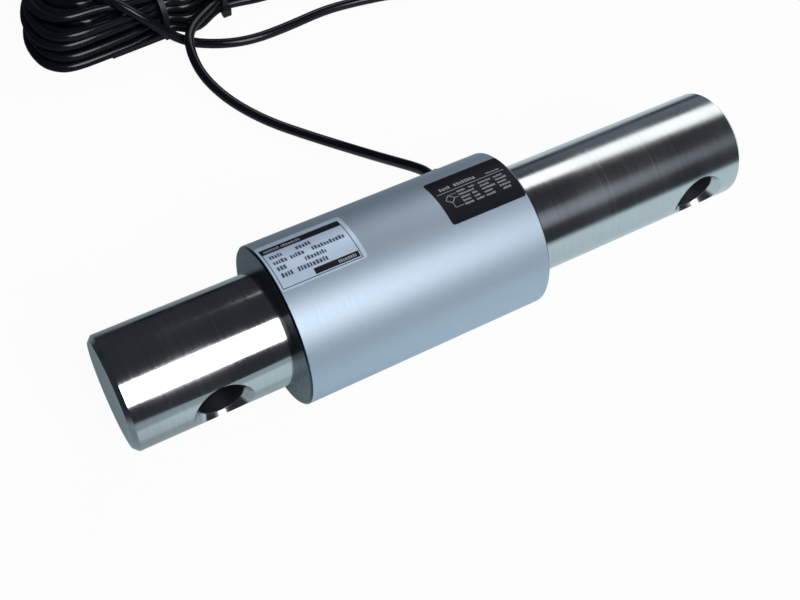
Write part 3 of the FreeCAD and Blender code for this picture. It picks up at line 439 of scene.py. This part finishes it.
def node(tree, kind, **values):
    """A shader node with its settings, or its sockets' values, filled in by name."""
    made = tree.nodes.new(kind)
    for name, value in values.items():
        if hasattr(made, name):
            setattr(made, name, value)
        else:
            made.inputs[name.replace("_", " ")].default_value = value
    return made


def feed(tree, value, socket):
    """Links another node's output to a socket, or sets a plain value on it."""
    if isinstance(value, bpy.types.NodeSocket):
        tree.links.new(value, socket)
    else:
        socket.default_value = value


def calculate(tree, operation, first, second=0.0):
    """A Math node on two values, each a number or another node's output."""
    made = node(tree, "ShaderNodeMath", operation=operation)
    feed(tree, first, made.inputs[0])
    feed(tree, second, made.inputs[1])
    return made.outputs[0]


def length_of(tree, vector):
    """A vector's length."""
    made = node(tree, "ShaderNodeVectorMath", operation="LENGTH")
    tree.links.new(vector, made.inputs[0])
    return made.outputs["Value"]


def reach_towards(tree, vector, way):
    """How far a vector reaches towards a fixed way."""
    made = node(tree, "ShaderNodeVectorMath", operation="DOT_PRODUCT")
    tree.links.new(vector, made.inputs[0])
    made.inputs[1].default_value = way
    return made.outputs["Value"]


def place_in_piece(tree, stretch=(1, 1, 1), shift=(0, 0, 0)):
    """Object coordinates, stretched and then moved."""
    where = node(tree, "ShaderNodeTexCoord")
    mapping = node(tree, "ShaderNodeMapping")
    mapping.inputs["Location"].default_value = shift
    mapping.inputs["Scale"].default_value = stretch
    tree.links.new(where.outputs["Object"], mapping.inputs["Vector"])
    return mapping.outputs["Vector"]


def place_along(tree, axis, shift=(0, 0, 0)):
    """One of the object coordinates, moved."""
    parts = node(tree, "ShaderNodeSeparateXYZ")
    tree.links.new(place_in_piece(tree, shift=shift), parts.inputs[0])
    return parts.outputs[axis]


def noise(tree, vector, scale, detail=4.0):
    """Cloudy noise from 0 to 1, most of it between 0.3 and 0.7."""
    made = node(tree, "ShaderNodeTexNoise", Scale=scale, Detail=detail, Roughness=0.55)
    tree.links.new(vector, made.inputs["Vector"])
    return made.outputs["Fac"]


def between(tree, value, low, high, start=0.3, end=0.7):
    """A value that goes from low to high while another goes from start to end."""
    made = node(tree, "ShaderNodeMapRange")
    for socket, number in zip(("From Min", "From Max", "To Min", "To Max"), (start, end, low, high)):
        made.inputs[socket].default_value = number
    tree.links.new(value, made.inputs["Value"])
    return made.outputs["Result"]


def blend_colours(tree, share, first, second):
    """A blend of two colours, of which the first may come from another node."""
    made = node(tree, "ShaderNodeMix", data_type="RGBA")
    colour_sockets = [socket for socket in made.inputs if socket.type == "RGBA"]
    feed(tree, first if isinstance(first, bpy.types.NodeSocket) else (*first, 1.0), colour_sockets[0])
    colour_sockets[1].default_value = (*second, 1.0)
    tree.links.new(share, made.inputs["Factor"])
    return next(socket for socket in made.outputs if socket.type == "RGBA")


def blend_shaders(tree, share, first, second):
    """A blend of two shader nodes."""
    made = node(tree, "ShaderNodeMixShader")
    feed(tree, share, made.inputs[0])
    tree.links.new(first.outputs[0], made.inputs[1])
    tree.links.new(second.outputs[0], made.inputs[2])
    return made


def seen_plainly(tree, rays):
    """1 for what the camera sees itself or through clear stuff, and 0 for mirrors and light."""
    return calculate(tree, "MAXIMUM", rays.outputs["Is Camera Ray"], rays.outputs["Is Transmission Ray"])


def shade(colour, factor):
    """A colour made paler or darker."""
    return tuple(min(1.0, part * factor) for part in colour)


def raise_bump(tree, shader, height, distance):
    """Lets a value from 0 to 1 raise the surface by up to a distance."""
    made = node(tree, "ShaderNodeBump", Strength=1.0, Distance=distance)
    tree.links.new(height, made.inputs["Height"])
    tree.links.new(made.outputs["Normal"], shader.inputs["Normal"])


def turning_lines(tree, scale, detail):
    """Lines round the bar's axis: by place along it on the round, by radius on a face."""
    radius = length_of(tree, place_in_piece(tree, stretch=(0, 1, 1), shift=(0, -AXIS.y, -AXIS.z)))
    place = calculate(tree, "ADD", place_along(tree, "X"), radius)
    lines = node(
        tree, "ShaderNodeTexNoise", noise_dimensions="1D", Scale=scale, Detail=detail, Roughness=0.7)
    tree.links.new(place, lines.inputs["W"])
    return lines.outputs["Fac"]


def on_ends(tree, name, edge):
    """0 on a turned node's round and 1 on its ends, which start an edge's width before them."""
    low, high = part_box(name)
    along = place_along(tree, "X", shift=(-(low.x + high.x) / 2, 0, 0))
    start = (high.x - low.x) / 2 - edge
    return between(tree, calculate(tree, "ABSOLUTE", along), 0, 1, start, start + EDGE_BLEND)


def in_bores(tree):
    """1 on the walls of the bar's two cross holes and 0 elsewhere."""
    left, right = (
        length_of(tree, place_in_piece(tree, stretch=(1, 0, 1), shift=(-middle, 0, -AXIS.z)))
        for middle in BORES)
    wall = BORE_RADIUS + EDGE_BLEND
    return between(tree, calculate(tree, "MINIMUM", left, right), 1, 0, wall, wall + EDGE_BLEND)


def plain_finish(name, colour, roughness, metallic=0.0, grain=PLAIN_GRAIN, bump=0.00002, spread=0.85):
    """A moulded, plated or painted finish: fine grain in its gloss and surface, clouds in its colour."""
    material, shader = new_finish(name, colour, roughness, metallic)
    tree = material.node_tree
    fine = noise(tree, place_in_piece(tree), grain)
    broad = noise(tree, place_in_piece(tree, shift=CLOUD_SHIFT), grain / CLOUD_SIZE, detail=2.0)
    tint = blend_colours(tree, between(tree, broad, 0, 1), shade(colour, spread), shade(colour, 2 - spread))
    tree.links.new(tint, shader.inputs["Base Color"])
    smooth, rough = roughness * (1 - ROUGHNESS_SPREAD), roughness * (1 + ROUGHNESS_SPREAD)
    tree.links.new(between(tree, fine, smooth, rough), shader.inputs["Roughness"])
    raise_bump(tree, shader, fine, bump)
    return material


def dress_plainly(finishes):
    """Gives every row's nodes its plain finish."""
    for nodes, *values in finishes:
        dress_nodes(plain_finish(*values), *nodes)


def nurbs_cord(name, points, diameter, material, resolution):
    """A smooth round cord whose control points are the route's points, given in metres."""
    curve = bpy.data.curves.new(name, "CURVE")
    curve.dimensions = "3D"
    curve.bevel_depth = diameter / 2
    curve.bevel_resolution = CORD_ROUNDNESS
    curve.use_fill_caps = True
    curve.resolution_u = resolution
    spline = curve.splines.new("NURBS")
    spline.points.add(len(points) - 1)
    for slot, point in zip(spline.points, points):
        slot.co = (*point, 1.0)
    spline.order_u = 3
    spline.use_endpoint_u = True
    cord = link(bpy.data.objects.new(name, curve))
    dress(cord, material)
    return cord


def hank_route():
    """The hank's turns in metres, wound strand by strand from the run's entry to the tail's start."""
    cable = settings().cable
    wander = random.Random(cable.seed)
    turn = Matrix.Rotation(cable.hank_turn, 2)
    centre = Vector(cable.hank_centre)
    half_length = cable.half_length / MM
    half_width = cable.half_width / MM
    pitch = cable.pitch / MM
    outermost = OUTER_PLACE * pitch / 2
    innermost = -outermost
    route = []

    def lay(along, across, height):
        """The route's next point, from the hank's own frame."""
        flat = centre + turn @ Vector((along, across)) * MM
        route.append((flat.x, flat.y, max(height, ROW_HEIGHTS[0]) * MM))

    def strand(row, place):
        """A strand's place out from the bundle's middle and its height, there and where the hank folds."""
        out = place * pitch / 2
        bent = FOLD + (out - innermost) * FOLD_SPREAD + ROW_SPREAD[row]
        # Every other strand of the rows above the floor folds a little higher.
        stagger = END_STAGGER if (place // 2) % 2 and row else 0.0
        lifted = ROW_HEIGHTS[row] * END_LIFT + stagger
        length = half_length + out * END_SPREAD + ROW_REACH[row]
        return Strand(out, ROW_HEIGHTS[row], bent, lifted, length, ROW_ACROSS[row])

    def mixed(first, second, share):
        """A strand on its way from one place to another."""
        return Strand(*(one + (two - one) * share for one, two in zip(first, second)))

    def corner(place, side):
        """Radius of a strand's corner: tight on the load cell's side, wide on the far side."""
        further = place.out - innermost
        tight = FOLD + further * NEAR_CORNER_SPREAD
        wide = FOLD + further * FAR_CORNER_SPREAD
        return tight if side == NEAR else min(wide, 2 * place.bent - tight)

    def stations(place, side):
        """The points of a strand's straight that are clear of its corner."""
        clear = INNERMOST_GAP
        if place.out > innermost:
            clear = corner(place, side) * CORNER_ROOM + CORNER_GAP
        return [along for along in STATIONS if along < place.length - clear]

    def straight(side, along, place, slack=SLACK):
        """A point of a straight, which opens out and rises towards the fold."""
        opened = min(max((abs(along) - OPENING_START) / OPENING_LENGTH, 0), 1)
        # Eased at both ends, so that the strand leaves its straight without a kink.
        opened *= opened * (3 - 2 * opened)
        width = (half_width + place.out) * (1 - opened) + place.bent * opened
        if side == NEAR:
            width += SWELLS.get(along, 0) * max(place.out, 0) / outermost
        level = place.height * (1 - opened) + place.lifted * opened
        lay(along, side * (width + wander.uniform(-slack, slack)) + place.across * opened,
            level + wander.uniform(-slack, slack) / 2)

    def tied(side, along, place):
        """A point where a tie draws the strands together."""
        level = TIED_FLOOR + (place.height - ROW_HEIGHTS[0]) * TIED_HEIGHT
        lay(along, side * (half_width + place.out) * TIED_WIDTH, level)

    def fold(end, place, first):
        """The way round an end of the hank, from the first side to the other."""
        length = place.length + wander.uniform(-END_SLACK, END_SLACK)
        for side, angles in ((first, CORNER_ANGLES), (-first, CORNER_ANGLES[::-1])):
            radius = corner(place, side)
            pulled = radius * CORNER_PULL
            for angle in angles:
                swing = math.radians(angle)
                lay(end * (length - radius + pulled * math.sin(swing)),
                    side * (place.bent - radius + pulled * math.cos(swing)) + place.across,
                    place.lifted + wander.uniform(-LIFT_SLACK, LIFT_SLACK))

    places = [strand(*slot) for slot in WINDING]
    for place, following in zip(places, places[1:] + places[-1:]):
        for along in stations(place, NEAR):
            straight(NEAR, along, place)
        fold(RIGHT, place, NEAR)
        for along in reversed(stations(place, FAR)):
            share = (STATIONS[-1] - along) / (STATIONS[-1] - STATIONS[0])
            straight(FAR, along, mixed(place, following, share))
        for along in RIGHT_TIE:
            tied(FAR, along, following)
        if following is place:
            break
        straight(FAR, FAR_BULGE, following, TIED_SLACK)
        for along in LEFT_TIE:
            tied(FAR, along, following)
        for along in stations(following, FAR):
            if along > OPENING_START:
                straight(FAR, -along, following)
        fold(LEFT, following, FAR)
        for along in reversed(stations(following, NEAR)):
            if along > OPENING_START:
                straight(NEAR, -along, following)
        for along in reversed(LEFT_TIE):
            tied(NEAR, along, following)
        straight(NEAR, NEAR_BULGE, following, TIED_SLACK)
        for along in reversed(RIGHT_TIE):
            tied(NEAR, along, following)
    for point in LAST_STRAND:
        lay(*point)
    return route


def strip(shape, label, start, stop, width, lift):
    """A printed strip round the sleeve; its ends are millimetres from the label's corner."""
    label_x, label_angle = label
    low, high = Vector(start), Vector(stop)
    aside = (high - low).orthogonal().normalized() * width
    steps = max(1, round((high - low).length / PRINT_STEP))
    # The grid is one unit wide and long, about its own middle.
    made = bmesh.ops.create_grid(shape, x_segments=1, y_segments=steps, size=0.5)
    radius = SLEEVE_RADIUS + lift
    for vert in made["verts"]:
        flat = low.lerp(high, vert.co.y + 0.5) + aside * vert.co.x
        angle = label_angle + flat.y * MM / SLEEVE_RADIUS
        front = AXIS.y - radius * math.cos(angle)
        vert.co = (label_x + flat.x * MM, front, AXIS.z + radius * math.sin(angle))


def patch(shape, label, left, right, low, high, lift):
    """One upright field of print."""
    middle = (left + right) / 2
    strip(shape, label, (middle, low), (middle, high), right - left, lift)


def words(shape, label, rows, lift):
    """Rows of small plain blocks in place of words; each run is a left and a right end."""
    for row in rows:
        sizes = random.Random(row.seed)
        for left, right in row.runs:
            place = left
            while place + row.cell * BLOCK_WIDTH[0] < right:
                wide = row.cell * sizes.uniform(*BLOCK_WIDTH)
                tall = row.height * sizes.uniform(*BLOCK_HEIGHT)
                patch(shape, label, place, min(place + wide, right), row.low, row.low + tall, lift)
                place += wide + row.cell * BLOCK_GAP


def print_piece(name, shape, material):
    """Gives the print its thickness, its material and its place on the root body."""
    bmesh.ops.recalc_face_normals(shape, faces=shape.faces[:])
    for face in shape.faces:
        outward = face.calc_center_median() - AXIS
        if face.normal.dot(Vector((0, outward.y, outward.z))) < 0:
            face.normal_flip()
    bmesh.ops.solidify(shape, geom=shape.faces[:], thickness=settings().label_print.ink)
    piece = mesh_piece(name, shape)
    dress(piece, material)
    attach(piece, "root")


def label_corner(name):
    """A label's left end and the angle of its front edge."""
    low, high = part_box(name)
    front = min(NODES[name].data.vertices, key=lambda vert: vert.co.y).co
    return low.x, math.atan2(front.z - AXIS.z, AXIS.y - front.y)


def softbox(name, box, power):
    """A soft area lamp that faces the load cell."""
    lamp = bpy.data.lights.new(name, "AREA")
    lamp.shape = "RECTANGLE"
    lamp.size = box.wide
    lamp.size_y = box.tall
    lamp.energy = power
    up = math.radians(box.elevation)
    round_about = math.radians(box.azimuth)
    way = Vector((math.cos(up) * math.cos(round_about), math.cos(up) * math.sin(round_about), math.sin(up)))
    stand = link(bpy.data.objects.new(name, lamp))
    stand.location = AXIS + way * SOFTBOX_DISTANCE
    stand.rotation_mode = "QUATERNION"
    stand.rotation_quaternion = way.to_track_quat("Z", "Y")
    stand.visible_camera = False


class LOADCELL_OT_camera(bpy.types.Operator):
    """Sets the camera where the picture was taken from"""
    bl_idname = "load_cell.camera"
    bl_label = "Set Camera"

    def execute(self, context):
        camera = bpy.data.cameras.new("camera")
        camera.sensor_width = SENSOR_WIDTH
        camera.lens = settings().stage.lens
        stand = link(bpy.data.objects.new("camera", camera))
        turn = Euler([math.radians(angle) for angle in CAMERA_TURN])
        stand.matrix_world = Matrix.LocRotScale(CAMERA_PLACE, turn, None)
        context.scene.camera = stand
        return {"FINISHED"}


class LOADCELL_OT_cable(bpy.types.Operator):
    """Lays the cable from the gland through its hank to the stripped end"""
    bl_idname = "load_cell.cable"
    bl_label = "Lay Cable"

    def execute(self, context):
        cable = settings().cable
        jacket = self.jacket_finish()
        run = [in_metres(point) for point in CABLE_RUN]
        tail = [in_metres(point) for point in CABLE_TAIL]
        cord = nurbs_cord("cable", run + hank_route() + tail, cable.diameter, jacket, CABLE_RESOLUTION)
        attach(cord, "root")
        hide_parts("cable_run", "cable_hank", "cable_tail")
        return {"FINISHED"}

    def jacket_finish(self):
        """Glossy black plastic with faint clouds in its colour and gloss, and fine grain."""
        colour = tuple(settings().colours.jacket)
        material, shader = new_finish("glossy_jacket", colour, roughness=0.22)
        set_mirroring(material, 0.38)
        tree = material.node_tree
        fine = noise(tree, place_in_piece(tree), scale=700, detail=3.0)
        broad = noise(tree, place_in_piece(tree, shift=(0.2, 0.4, 0.1)), scale=60, detail=2.0)
        tint = blend_colours(tree, between(tree, broad, 0, 1), shade(colour, 0.8), shade(colour, 1.5))
        tree.links.new(tint, shader.inputs["Base Color"])
        tree.links.new(between(tree, broad, low=0.14, high=0.22), shader.inputs["Roughness"])
        raise_bump(tree, shader, fine, distance=0.00002)
        return material


class LOADCELL_OT_leads(bpy.types.Operator):
    """Fans the coloured leads and the drain wire out of the cable's stripped end"""
    bl_idname = "load_cell.leads"
    bl_label = "Fan Leads"

    def execute(self, context):
        cable = settings().cable
        heading = (CABLE_END - Vector(CABLE_TAIL[-2])).normalized()
        sideways = Vector((0, 0, 1)).cross(heading)
        upward = heading.cross(sideways)
        finishes = self.lead_finishes()
        for name, (slot, (aside, above), steps) in LEADS.items():
            first = CABLE_END + (sideways * aside + upward * above) * LEAD_ASIDE
            points = [first, first + heading * LEAD_STRAIGHT]
            for along, across, height in steps:
                points.append(Vector((CABLE_END.x + along, CABLE_END.y + across, height)))
            diameter = cable.drain_diameter if name == "drain_wire" else cable.lead_diameter
            route = [point * MM for point in points]
            lead = nurbs_cord(f"{name}_strand", route, diameter, finishes[name], LEAD_RESOLUTION)
            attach(lead, "root")
            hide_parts(name)
        dress_nodes(finishes["drain_wire"], "lead_tips")
        return {"FINISHED"}

    def lead_finishes(self):
        """The leads' insulation and the bare wire's tin."""
        skin = {"roughness": INSULATION_ROUGHNESS, "grain": INSULATION_GRAIN}
        return {
            "lead_red": plain_finish("red_insulation", RED, **skin),
            "lead_black": plain_finish("black_insulation", BLACK, **skin),
            "lead_green": plain_finish("green_insulation", GREEN, **skin),
            "lead_white": plain_finish("white_insulation", WHITE, spread=0.95, **skin),
            "drain_wire": plain_finish("tinned_strands", TINNED, roughness=0.32, metallic=1.0, grain=2500),
        }


class LOADCELL_OT_metal(bpy.types.Operator):
    """Gives the bar, sleeve, gland, screws and seals their finishes"""
    bl_idname = "load_cell.metal"
    bl_label = "Finish Metal"

    def execute(self, context):
        colours = settings().colours
        dress_nodes(self.ground_steel(tuple(colours.bar)), "beam")
        dress_nodes(self.satin_aluminium(tuple(colours.sleeve)), "sleeve")
        dress_plainly(FITTING_FINISHES)
        return {"FINISHED"}

    def ground_steel(self, colour):
        """Ground all round, smeared, duller on the right stub, pale on its ends, with painted shade
        darkening its bores.
        """
        colours = settings().colours
        material, shader = new_finish("ground_steel", colour, roughness=0.14, metallic=1.0)
        tree = material.node_tree
        lines = turning_lines(tree, scale=700, detail=7.0)
        smears = noise(tree, place_in_piece(tree, stretch=(1.0, 0.5, 0.5)), scale=45, detail=3.0)
        bores = in_bores(tree)
        tint = blend_colours(tree, between(tree, lines, 0, 1), shade(colour, 0.92), shade(colour, 1.05))
        tint = blend_colours(tree, on_ends(tree, "beam", BAR_EDGE), tint, tuple(colours.bar_end))
        # Painted shade: the cross holes' walls are darkened for the shade deep inside them.
        tint = blend_colours(tree, bores, tint, tuple(colours.painted_bore_shade))
        tree.links.new(tint, shader.inputs["Base Color"])
        roughness = between(tree, lines, low=0.05, high=0.10)
        smeared = between(tree, smears, low=0.03, high=0.09)
        handled = between(tree, place_along(tree, "X"), 0, 0.06, *HANDLED)
        bored = between(tree, bores, low=0, high=0.3, start=0, end=1)
        for more in (smeared, handled, bored):
            roughness = calculate(tree, "ADD", roughness, more)
        tree.links.new(roughness, shader.inputs["Roughness"])
        raise_bump(tree, shader, lines, distance=0.000008)
        return material

    def satin_aluminium(self, colour):
        """Blasted and anodised on the round; turned on the ends and their edges, which painted shade
        darkens.
        """
        material, shader = new_finish("satin_aluminium", colour, roughness=0.48, metallic=0.68)
        tree = material.node_tree
        lines = turning_lines(tree, scale=1100, detail=8.0)
        grain = noise(tree, place_in_piece(tree), scale=3000, detail=2.0)
        ends = on_ends(tree, "sleeve", SLEEVE_EDGE)
        tint = blend_colours(tree, between(tree, lines, 0, 1), shade(colour, 0.96), shade(colour, 1.03))
        # Painted shade darkens the turned ends for the shade they mirror.
        tint = blend_colours(tree, ends, tint, tuple(settings().colours.sleeve_end_and_shade))
        tree.links.new(tint, shader.inputs["Base Color"])
        blasted = between(tree, lines, low=0.48, high=0.56)
        turned = between(tree, ends, low=0.0, high=0.25, start=0, end=1)
        tree.links.new(calculate(tree, "SUBTRACT", blasted, turned), shader.inputs["Roughness"])
        tree.links.new(between(tree, ends, low=0.68, high=1.0, start=0, end=1), shader.inputs["Metallic"])
        raise_bump(tree, shader, grain, distance=0.000006)
        return material


class LOADCELL_OT_inside(bpy.types.Operator):
    """Gives the pieces inside the sleeve, the hank's ties and the shrunk tube their finishes"""
    bl_idname = "load_cell.inside"
    bl_label = "Finish Inside"

    def execute(self, context):
        dress_plainly(INSIDE_FINISHES)
        return {"FINISHED"}


class LOADCELL_OT_labels(bpy.types.Operator):
    """Finishes both labels and prints their fields, rules and rows of blocks"""
    bl_idname = "load_cell.labels"
    bl_label = "Print Labels"

    def execute(self, context):
        colours = settings().colours
        thin = {"grain": PRINT_GRAIN, "bump": INK_BUMP}
        foil = plain_finish(
            "satin_foil", tuple(colours.foil), roughness=0.34, metallic=0.25, spread=0.96, **thin)
        film = plain_finish(
            "printed_film", tuple(colours.film), roughness=0.45, grain=PRINT_GRAIN, bump=FILM_BUMP)
        set_mirroring(film, 0.22)
        pale = plain_finish("pale_ink", tuple(colours.pale_ink), roughness=0.45, spread=0.93, **thin)
        ink = plain_finish("dark_ink", tuple(colours.film), roughness=0.38, **thin)
        soft_ink = plain_finish("soft_ink", SOFT_INK, roughness=0.42, **thin)
        dress_nodes(foil, "rating_label")
        dress_nodes(film, "wiring_label")
        self.print_rating(ink, soft_ink, pale)
        self.print_wiring(pale)
        return {"FINISHED"}

    def print_rating(self, ink, soft_ink, pale):
        """A dark band and border, a dark field, and rows of blocks on the foil and on the dark."""
        settled = settings().label_print
        lift = settled.lift
        rule = settled.rule / MM
        corner = label_corner("rating_label")
        dark = bmesh.new()
        inner_left, inner_right = RATING_LEFT + rule, RATING_RIGHT - rule
        for left, right, low, high in (
                (RATING_LEFT, RATING_RIGHT, RATING_BAND, RATING_TOP),
                (RATING_LEFT, inner_left, RATING_FOOT, RATING_BAND),
                (inner_right, RATING_RIGHT, RATING_FOOT, RATING_BAND),
                (inner_left, inner_right, RATING_FOOT, RATING_FOOT + rule),
                (FIELD_LEFT, RATING_RIGHT - FIELD_INSET, RATING_FOOT + FIELD_INSET, FIELD_TOP)):
            patch(dark, corner, left, right, low, high, lift)
        print_piece("rating_print", dark, ink)
        rows = bmesh.new()
        words(rows, corner, RATING_ROWS, lift)
        print_piece("rating_words", rows, soft_ink)
        light = bmesh.new()
        words(light, corner, RATING_PALE_ROWS, lift + settled.ink)
        print_piece("rating_print_pale", light, pale)

    def print_wiring(self, pale):
        """A rule, rows of blocks, and the outline of a gauge bridge with its wires."""
        settled = settings().label_print
        lift = settled.lift
        rule = settled.rule / MM
        corner = label_corner("wiring_label")
        light = bmesh.new()
        patch(light, corner, WIRING_LEFT, WIRING_RIGHT, WIRING_RULE, WIRING_RULE + rule, lift)
        words(light, corner, WIRING_ROWS, lift)
        for start, stop in zip(BRIDGE, BRIDGE[1:] + BRIDGE[:1]):
            strip(light, corner, start, stop, rule, lift)
        for start, stop in BRIDGE_WIRES:
            strip(light, corner, start, stop, rule * WIRE_SHARE, lift)
        print_piece("wiring_print", light, pale)


class LOADCELL_OT_stage(bpy.types.Operator):
    """Sets the pale floor, the room and the softboxes"""
    bl_idname = "load_cell.stage"
    bl_label = "Set Stage"

    def execute(self, context):
        stage = settings().stage
        self.floor(stage)
        self.room(stage)
        softbox("front_softbox", FRONT_SOFTBOX, stage.front_power)
        softbox("rear_softbox", REAR_SOFTBOX, stage.rear_power)
        context.scene.view_settings.view_transform = "Standard"
        return {"FINISHED"}

    def floor(self, stage):
        """Nearly white to the camera; where gloss shows it, painted light near the bar and painted shade
        further off.
        """
        shape = bmesh.new()
        bmesh.ops.create_circle(shape, cap_ends=True, segments=FLOOR_SIDES, radius=stage.floor_radius)
        floor = mesh_piece("floor", shape)
        material = bpy.data.materials.new("pale_floor")
        material.use_nodes = True
        tree = material.node_tree
        tree.nodes.clear()
        rays = node(tree, "ShaderNodeLightPath")
        matt = node(tree, "ShaderNodeBsdfDiffuse", Color=FLOOR_PAPER)
        white = node(tree, "ShaderNodeEmission")
        whitened = calculate(tree, "MULTIPLY", seen_plainly(tree, rays), stage.floor_white)
        plain = blend_shaders(tree, whitened, matt, white)
        lit = node(tree, "ShaderNodeBsdfDiffuse")
        glow = node(tree, "ShaderNodeEmission")
        tint = self.floor_in_gloss(tree, stage)
        for part in (lit, glow):
            tree.links.new(tint, part.inputs["Color"])
        mirrored = blend_shaders(tree, stage.floor_glow, lit, glow)
        whole = blend_shaders(tree, rays.outputs["Is Glossy Ray"], plain, mirrored)
        out = node(tree, "ShaderNodeOutputMaterial")
        tree.links.new(whole.outputs[0], out.inputs["Surface"])
        dress(floor, material)

    def floor_in_gloss(self, tree, stage):
        """The floor's colour as gloss shows it, with painted light near the bar and painted shade ahead,
        further off and at the left stub's foot.
        """
        away = length_of(tree, place_in_piece(tree, shift=-LIT_MIDDLE))
        ahead = reach_towards(tree, place_in_piece(tree), AHEAD_WAY)
        # Painted light near the bar, fading to painted shade further off and ahead of the rim.
        near = between(tree, away, 1, 0, *LIT_RIM)
        behind_rim = between(tree, ahead, 1, AHEAD_SHARE, *AHEAD_RIM)
        lit = calculate(tree, "MULTIPLY", near, behind_rim)
        # Painted shadow on the floor at the left stub's foot.
        leftward = between(tree, place_along(tree, "X"), FOOT_SHADOW_SHARE, 0, *FOOT_ALONG)
        under = between(tree, place_along(tree, "Y"), 0, 1, *FOOT_ACROSS)
        painted_foot_shadow = calculate(tree, "MULTIPLY", leftward, under)
        tint = blend_colours(tree, lit, UNLIT_FLOOR, tuple(stage.floor_gloss))
        return blend_colours(tree, painted_foot_shadow, tint, UNLIT_FLOOR)

    def room(self, stage):
        """White to the camera, even as light, and dark with two paler parts where gloss shows it."""
        world = bpy.data.worlds.new("studio_room")
        bpy.context.scene.world = world
        world.use_nodes = True
        tree = world.node_tree
        tree.nodes.clear()
        rays = node(tree, "ShaderNodeLightPath")
        way = node(tree, "ShaderNodeTexCoord").outputs["Generated"]
        tint = tuple(stage.room_gloss)
        for middle, rim, glow in ((REAR_GLOW_WAY, REAR_GLOW_RIM, stage.rear_glow),
                                  (SIDE_GLOW_WAY, SIDE_GLOW_RIM, stage.side_glow)):
            inside = between(tree, reach_towards(tree, way, middle), 0, 1, rim, 1)
            tint = blend_colours(tree, inside, tint, tuple(glow))
        even = node(tree, "ShaderNodeBackground", Color=(*stage.room, 1))
        mirrored = node(tree, "ShaderNodeBackground")
        tree.links.new(tint, mirrored.inputs["Color"])
        white = node(tree, "ShaderNodeBackground", Color=(1, 1, 1, 1))
        lighting = blend_shaders(tree, rays.outputs["Is Glossy Ray"], even, mirrored)
        whole = blend_shaders(tree, seen_plainly(tree, rays), lighting, white)
        out = node(tree, "ShaderNodeOutputWorld")
        tree.links.new(whole.outputs[0], out.inputs["Surface"])


class LOADCELL_PT_panel(bpy.types.Panel):
    """Lists the load cell's steps and settings"""
    bl_idname = "LOADCELL_PT_panel"
    bl_label = "Load Cell"
    bl_space_type = "VIEW_3D"
    bl_region_type = "UI"
    bl_category = "Load Cell"

    def draw(self, context):
        layout = self.layout
        for step in STEPS:
            layout.operator(step.bl_idname)
        chosen = context.scene.load_cell
        for group in (chosen.cable, chosen.label_print, chosen.colours, chosen.stage):
            box = layout.box()
            for name in group.__annotations__:
                box.prop(group, name)


STEPS = (
    LOADCELL_OT_camera, LOADCELL_OT_cable, LOADCELL_OT_leads, LOADCELL_OT_metal, LOADCELL_OT_inside,
    LOADCELL_OT_labels, LOADCELL_OT_stage,
)
GROUPS = (LoadCellCable, LoadCellPrint, LoadCellColours, LoadCellStage, LoadCellSettings)


def register():
    for kind in GROUPS + STEPS + (LOADCELL_PT_panel,):
        bpy.utils.register_class(kind)
    bpy.types.Scene.load_cell = PointerProperty(type=LoadCellSettings)


def unregister():
    del bpy.types.Scene.load_cell
    for kind in reversed(GROUPS + STEPS + (LOADCELL_PT_panel,)):
        bpy.utils.unregister_class(kind)


def main():
    register()
    bpy.ops.load_cell.camera()
    bpy.ops.load_cell.cable()
    bpy.ops.load_cell.leads()
    bpy.ops.load_cell.metal()
    bpy.ops.load_cell.inside()
    bpy.ops.load_cell.labels()
    bpy.ops.load_cell.stage()


if __name__ == "__main__":
    main()
